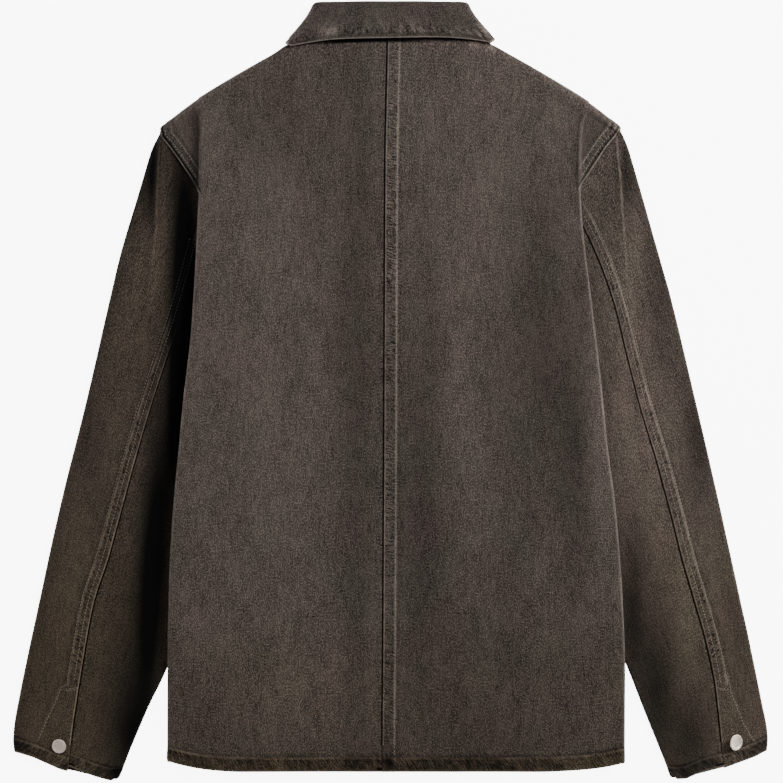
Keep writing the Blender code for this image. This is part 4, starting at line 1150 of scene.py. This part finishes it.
def makeFall():
    rollRadius = collar["rollRadius"]
    profile = [(collar["rollUnder"], 0.0), (4.6, 0.0), (3.0, 0.0), (rollRadius, 0.0)]
    profile += [(rollRadius * (1 - math.sin(math.radians(a))), 0.5 - 0.5 * math.cos(math.radians(a)))
                for a in (22, 45, 67, 90, 112, 135, 157)]
    profile += [(c, 1.0) for c in np.concatenate([[rollRadius, 2.6], np.linspace(4, 30, 15),
                                                  np.linspace(31, 44, 14), [44.8, 45.5, 46.1, 46.6, 47.0]])]
    stations = ringStations(46, 9, 132)
    grid = []
    for c, rho in profile:
        share = c / collar["depth"]

        def backY(x):
            rollY = collar["rollY"] - collar["wall"] / 2 - 1.2 * (x / 78) ** 4
            return rollY + share * (through(collarEdge, x) - rollY)

        frontPlan = collar["rollEnd"] + share * (collar["point"] - collar["rollEnd"])
        grid.append([ringPoint(t, kind, c, rho, backY, frontPlan) for kind, t in stations])
    grid = np.array(grid)
    n = outward(grid, 1)
    x, y = grid[..., 0], grid[..., 1]
    along = np.broadcast_to(summed(steps(grid[-1])), x.shape)
    fromEdge = apart(grid, grid[-1:])
    outside = np.array([1.0 if rho > 0.9 else 0.0 for _, rho in profile])[:, None]
    fan = ripple(along, 3.3, 101) + 0.6 * ripple(along + 0.4 * fromEdge, 6.0, 102)
    f = startFields(x.shape)
    height = 0.42 * fan * bump((fromEdge - 8.5) / 5.0) * smooth((fromEdge - 2.5) / 2)
    height += clouded(collar["clouds"], along, fromEdge)
    height += 0.3 * bump((fromEdge - 1.0) / 1.0) - 0.4 * bump((fromEdge - 5.0) / 0.9)
    own = fromEdge < 24
    f["warm"] -= 0.15
    f["s"] = np.where(own, 1.35 * fromEdge, 60.0)
    f["t"] = np.where(own, (along + 0.5 * fromEdge) / 2.4, 0.0)
    f["edge"] = (1.5 + 0.4 * ripple(along, 13, 107)) * outside * (fromEdge < 6)
    f["pucker"] = outside * smooth((fromEdge - 2) / 2) * bump((fromEdge - 7) / 8.0) * 0.6
    # lighter streaks on the puckers, partly worn and partly painted light; painted shade near the edge, in
    # the puckers' troughs and near the roll; and the collar a little darker overall, more on its left
    slant = ripple(along + 0.55 * fromEdge, 5.2, 106)
    f["wearAndPaintedLight"] = (1.3 * np.clip(fan, 0, 1.2) ** 2 * bump((fromEdge - 8.5) / 5.0)
                 + 1.3 * np.clip(slant - 0.3, 0, 1) * bump((fromEdge - 12) / 8)) * outside
    f["shade"] = (0.22 * bump((fromEdge - 3.6) / 1.8) + 0.2 * np.clip(-fan, 0, 1) * bump((fromEdge - 9) / 5)
                  + 0.1 * bump((fromEdge - 44) / 5) + 0.26 - 0.04 * smooth(x / 30)) * outside
    grid = grid + n * (height * outside)[..., None]
    # its top edge is level as far as its round corners, and its lower corners reach the shoulders
    lift = np.interp(abs(x), [0, 46, 61, 71, 73.5, 76.5, 80], [0.6, 0.9, 2.2, 3.7, 4.0, 2.4, 0])
    grid[..., 1] += lift * smooth((y - 374) / 12)
    reach = smooth((abs(x) - 58) / 40) * (1 - smooth(fromEdge / 32))
    grid[..., 0] += np.where(x < 0, -5.5, 4.6) * reach
    grid[..., 1] -= np.where(x < 0, 2.0, 0.2) * reach
    for flip in (1, -1):
        grid[..., 0] *= flip
        roundCorner(grid, (76.8, 387.9), (-1, 0), (0.51, -0.86), 6.5)
        grid[..., 0] *= flip
    thickness = rounded(collar["wall"] + 0.1, fromEdge + 0.1)
    piece = clothPiece("collar_fall_denim", grid, 1, thickness, f)
    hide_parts("collar_fall")


def makeStand():
    grid = []
    for share in np.linspace(0, 1, 9):
        c = collar["rollUnder"] + 0.3 + share * (collar["standEnd"] - collar["rollUnder"] - 0.3)

        def backY(x):
            upper = collar["rollY"] - collar["wall"] / 2 - (collar["rollUnder"] + 0.3) * 0.8
            return upper + share * (through(backNeck, abs(x)) + 2.6 - upper)

        turnedIn = (collar["rollUnder"] + 0.3) / collar["depth"]
        inner = collar["rollEnd"] + turnedIn * (collar["point"] - collar["rollEnd"])
        row = []
        for kind, t in ringStations(20, 5, 30):
            frontPlan = inner + share * (np.array([4.0, 296.2]) - inner)
            x, y, z = ringPoint(t, kind, c, 0.0, backY, frontPlan)
            if kind.startswith("front") and share == 1:
                y = max(y, through(frontNeck, abs(x)) + 4.2)
            row.append((x, y, z))
        grid.append(row)
    grid = np.array(grid)
    piece = clothPiece("collar_stand_denim", grid, 1, cloth, startFields(grid.shape[:2]))
    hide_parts("collar_stand")


makeFall()
makeStand()
print("collar made")

stitching = {"length": 2.5, "pitch": 3.3, "width": 0.78, "height": 0.42,
             "fromSeam": {"back": (11.6,), "armhole": (5.4, 11.2), "sleeve": (5.6, 12.0)},
             "sleeveFrom": {"left": 150, "right": 172}}


# stitches laid along a path on top of a piece
def stitchLine(bm, pieceName, path, seed, sign, shades):
    points, normals, halves, shade = surfaces[pieceName]
    tree = KDTree(len(points))
    for k, p in enumerate(points):
        tree.insert((p[0], p[1], 0), k)
    tree.balance()
    path = np.asarray(path, float) * np.array([sign, 1])
    length = summed(steps(path))
    rng = np.random.default_rng(seed)
    for at in np.arange(1.5, length[-1] - 1.5, stitching["pitch"]):
        at = at + rng.uniform(-0.25, 0.25)
        x, y = (np.interp(at, length, path[:, k]) for k in (0, 1))
        x1, y1 = (np.interp(at + 1, length, path[:, k]) for k in (0, 1))
        _, k, _ = tree.find((x, y, 0))
        p, n = points[k], normals[k]
        z = p[2] - (n[0] * (x - p[0]) + n[1] * (y - p[1])) / n[2]
        up = Vector(n).normalized()
        along = Vector((x1 - x, y1 - y, -(n[0] * (x1 - x) + n[1] * (y1 - y)) / n[2])).normalized()
        across = up.cross(along).normalized()
        centre = Vector((x, y, z)) + up * (halves[k] + 0.08)
        turn = Matrix((along, across, up)).transposed().to_4x4()
        size = (stitching["length"] / 2 * rng.uniform(0.85, 1.1), stitching["width"] / 2,
                stitching["height"] / 2)
        placed = Matrix.Translation(centre * mm) @ turn @ Matrix.Diagonal((*size, 1))
        bmesh.ops.create_uvsphere(bm, u_segments=6, v_segments=4, radius=mm, matrix=placed)
        shades += [float(shade[k])] * (len(bm.verts) - len(shades))


def threadPiece(name, lines):
    bm = bmesh.new()
    shades = []
    for k, (pieceName, path, sign) in enumerate(lines):
        stitchLine(bm, pieceName, path, 200 + k, sign, shades)
    thing = toObject(bm, name, thread)
    layer = thing.data.attributes.new("shade", "FLOAT", "POINT")
    layer.data.foreach_set("value", np.array(shades, np.float32))
    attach(thing, "root")
    print(f"{name}: {len(thing.data.polygons) * 2} triangles")


# a path beside another, on its left where distance is above 0
def beside(path, distance):
    path = np.asarray(path, float)
    d = np.gradient(path, axis=0)
    d /= np.hypot(d[:, 0], d[:, 1])[:, None]
    return path + distance * np.column_stack([-d[:, 1], d[:, 0]])


seamPath = [(through(backSeam, y), y) for y in np.linspace(344, -366, 72)]
threadPiece("back_seam_stitches",
            [("back_right_denim", beside(seamPath, d), 1) for d in stitching["fromSeam"]["back"]])
for name, sign in names.items():
    hole = [(side(armhole, name, y), y) for y in np.linspace(261, 196, 30)]
    bodyLines = [[p for p in beside(hole, -d) if p[0] > side(bodyEdge, name, p[1]) - 0.5]
                 for d in stitching["fromSeam"]["armhole"]]
    table, vent = sleeve["seam"], sleeve["ventTop"]
    sleeveSeam = [(side(table, name, y), y)
                  for y in np.linspace(stitching["sleeveFrom"][name], vent + 4, 70)]
    near, far = (beside(sleeveSeam, d) for d in stitching["fromSeam"]["sleeve"])
    topOut = side(table, name, vent)
    tack = [(topOut + dx, vent + dy) for dx, dy in [(0.5, 2.5), (12, 1), (12, -0.5), (0.5, 1.0)]]
    lines = [(f"back_{name}_denim", line, sign) for line in bodyLines]
    lines += [(f"sleeve_top_{name}_denim", line, sign)
              for line in (near, list(far) + sleeve["facing"][name], tack)]
    threadPiece(f"sleeve_stitches_{name}", lines)
print("stitches made")

cuffButton = {
    "size": {"left": 0.92, "right": 1.02},
    "place": {"left": (332.0, -355.8), "right": (344.3, -352.0)},       # out, y
    "lift": {"left": 0.4, "right": 2.2},
    "tilt": {"left": (6, -8), "right": (2, 34)},
    "profile": [(0, 1.75), (2.5, 1.78), (4.6, 1.86), (5.3, 1.98), (5.7, 2.2), (6.2, 2.5), (6.9, 2.62),
                (7.5, 2.45), (7.8, 2.0), (7.65, 1.5), (7.0, 1.1), (2.6, 0.9), (2.4, 0.5), (2.4, 0.0),
                (0, 0.0)],
}
frontButton = {"count": 5, "top": 272.0, "step": 90.0, "z": 2.65, "tilt": (180, 0)}


def makeButton(nodeName, foot, tilt, size):
    bm = bmesh.new()
    ring = [bm.verts.new((x * mm, 0, z * mm)) for x, z in cuffButton["profile"]]
    edges = [bm.edges.new(pair) for pair in zip(ring, ring[1:])]
    bmesh.ops.spin(bm, geom=ring + edges, cent=(0, 0, 0), axis=(0, 0, 1), angle=2 * math.pi, steps=48,
                   use_merge=True)
    bmesh.ops.remove_doubles(bm, verts=bm.verts, dist=1e-6)
    bmesh.ops.recalc_face_normals(bm, faces=bm.faces)
    turn = Matrix.Rotation(math.radians(tilt[1]), 4, "Y") @ Matrix.Rotation(math.radians(tilt[0]), 4, "X")
    bmesh.ops.transform(bm, matrix=Matrix.Translation(Vector(foot) * mm) @ turn @ Matrix.Scale(size, 4),
                        verts=bm.verts)
    thing = toObject(bm, f"{nodeName}_metal", pewter)
    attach(thing, "root")
    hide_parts(nodeName)


for name, (out, y) in cuffButton["place"].items():
    points, _, halves, _ = surfaces[f"sleeve_top_{name}_denim"]
    k = int(np.argmin(np.hypot(points[:, 0] - names[name] * out, points[:, 1] - y)))
    foot = (names[name] * out, y, points[k, 2] + halves[k] + cuffButton["lift"][name])
    makeButton(f"cuff_button_{name}", foot, cuffButton["tilt"][name], cuffButton["size"][name])
for k in range(frontButton["count"]):
    foot = (0, frontButton["top"] - k * frontButton["step"], frontButton["z"])
    makeButton(f"front_button_{k + 1}", foot, frontButton["tilt"], 1.0)
print("buttons made")

stageLook = {"floor": (0.88, 0.88, 0.88), "floorGlow": 8.0, "floorRoughness": 0.9, "floorSize": 4,
             "floorDrop": 0.0004, "worldStrength": 0.5, "keyEnergy": 82.0, "keyPlace": (1.7, 1.1, 1.5),
             "keySize": 1.1, "fillEnergy": 8.0, "fillPlace": (-1.6, 1.4, 2.2), "fillSize": 1.6}

paper, _, shader = newMaterial("floor paper")
shader.inputs["Base Color"].default_value = (*stageLook["floor"], 1)
shader.inputs["Roughness"].default_value = stageLook["floorRoughness"]
shader.inputs["Emission Color"].default_value = (1, 1, 1, 1)
shader.inputs["Emission Strength"].default_value = stageLook["floorGlow"]
bm = bmesh.new()
bmesh.ops.create_grid(bm, x_segments=1, y_segments=1, size=stageLook["floorSize"])
floor = toObject(bm, "floor", paper)
floor.location = (0, 0, -stageLook["floorDrop"])

world = bpy.data.worlds.new("studio")
world.use_nodes = True
background = world.node_tree.nodes["Background"]
background.inputs["Color"].default_value = (1, 1, 1, 1)
background.inputs["Strength"].default_value = stageLook["worldStrength"]
bpy.context.scene.world = world


def makeLight(name, place, size, energy):
    data = bpy.data.lights.new(name, "AREA")
    data.shape = "DISK"
    data.size = size
    data.energy = energy
    light = bpy.data.objects.new(name, data)
    bpy.context.collection.objects.link(light)
    light.location = place
    light.rotation_euler = (-Vector(place)).to_track_quat("-Z", "Y").to_euler()


makeLight("key", stageLook["keyPlace"], stageLook["keySize"], stageLook["keyEnergy"])
makeLight("fill", stageLook["fillPlace"], stageLook["fillSize"], stageLook["fillEnergy"])

cameraPlace = {"height": 3.0, "middle": (0.0005, -0.001), "width": 0.783, "subject": 0.012, "sensor": 36}
cameraData = bpy.data.cameras.new("camera")
cameraData.sensor_width = cameraPlace["sensor"]
fromSubject = cameraPlace["height"] - cameraPlace["subject"]
cameraData.lens = cameraPlace["sensor"] * fromSubject / cameraPlace["width"]
camera = bpy.data.objects.new("camera", cameraData)
bpy.context.collection.objects.link(camera)
camera.location = (*cameraPlace["middle"], cameraPlace["height"])
bpy.context.scene.camera = camera
print("stage made")
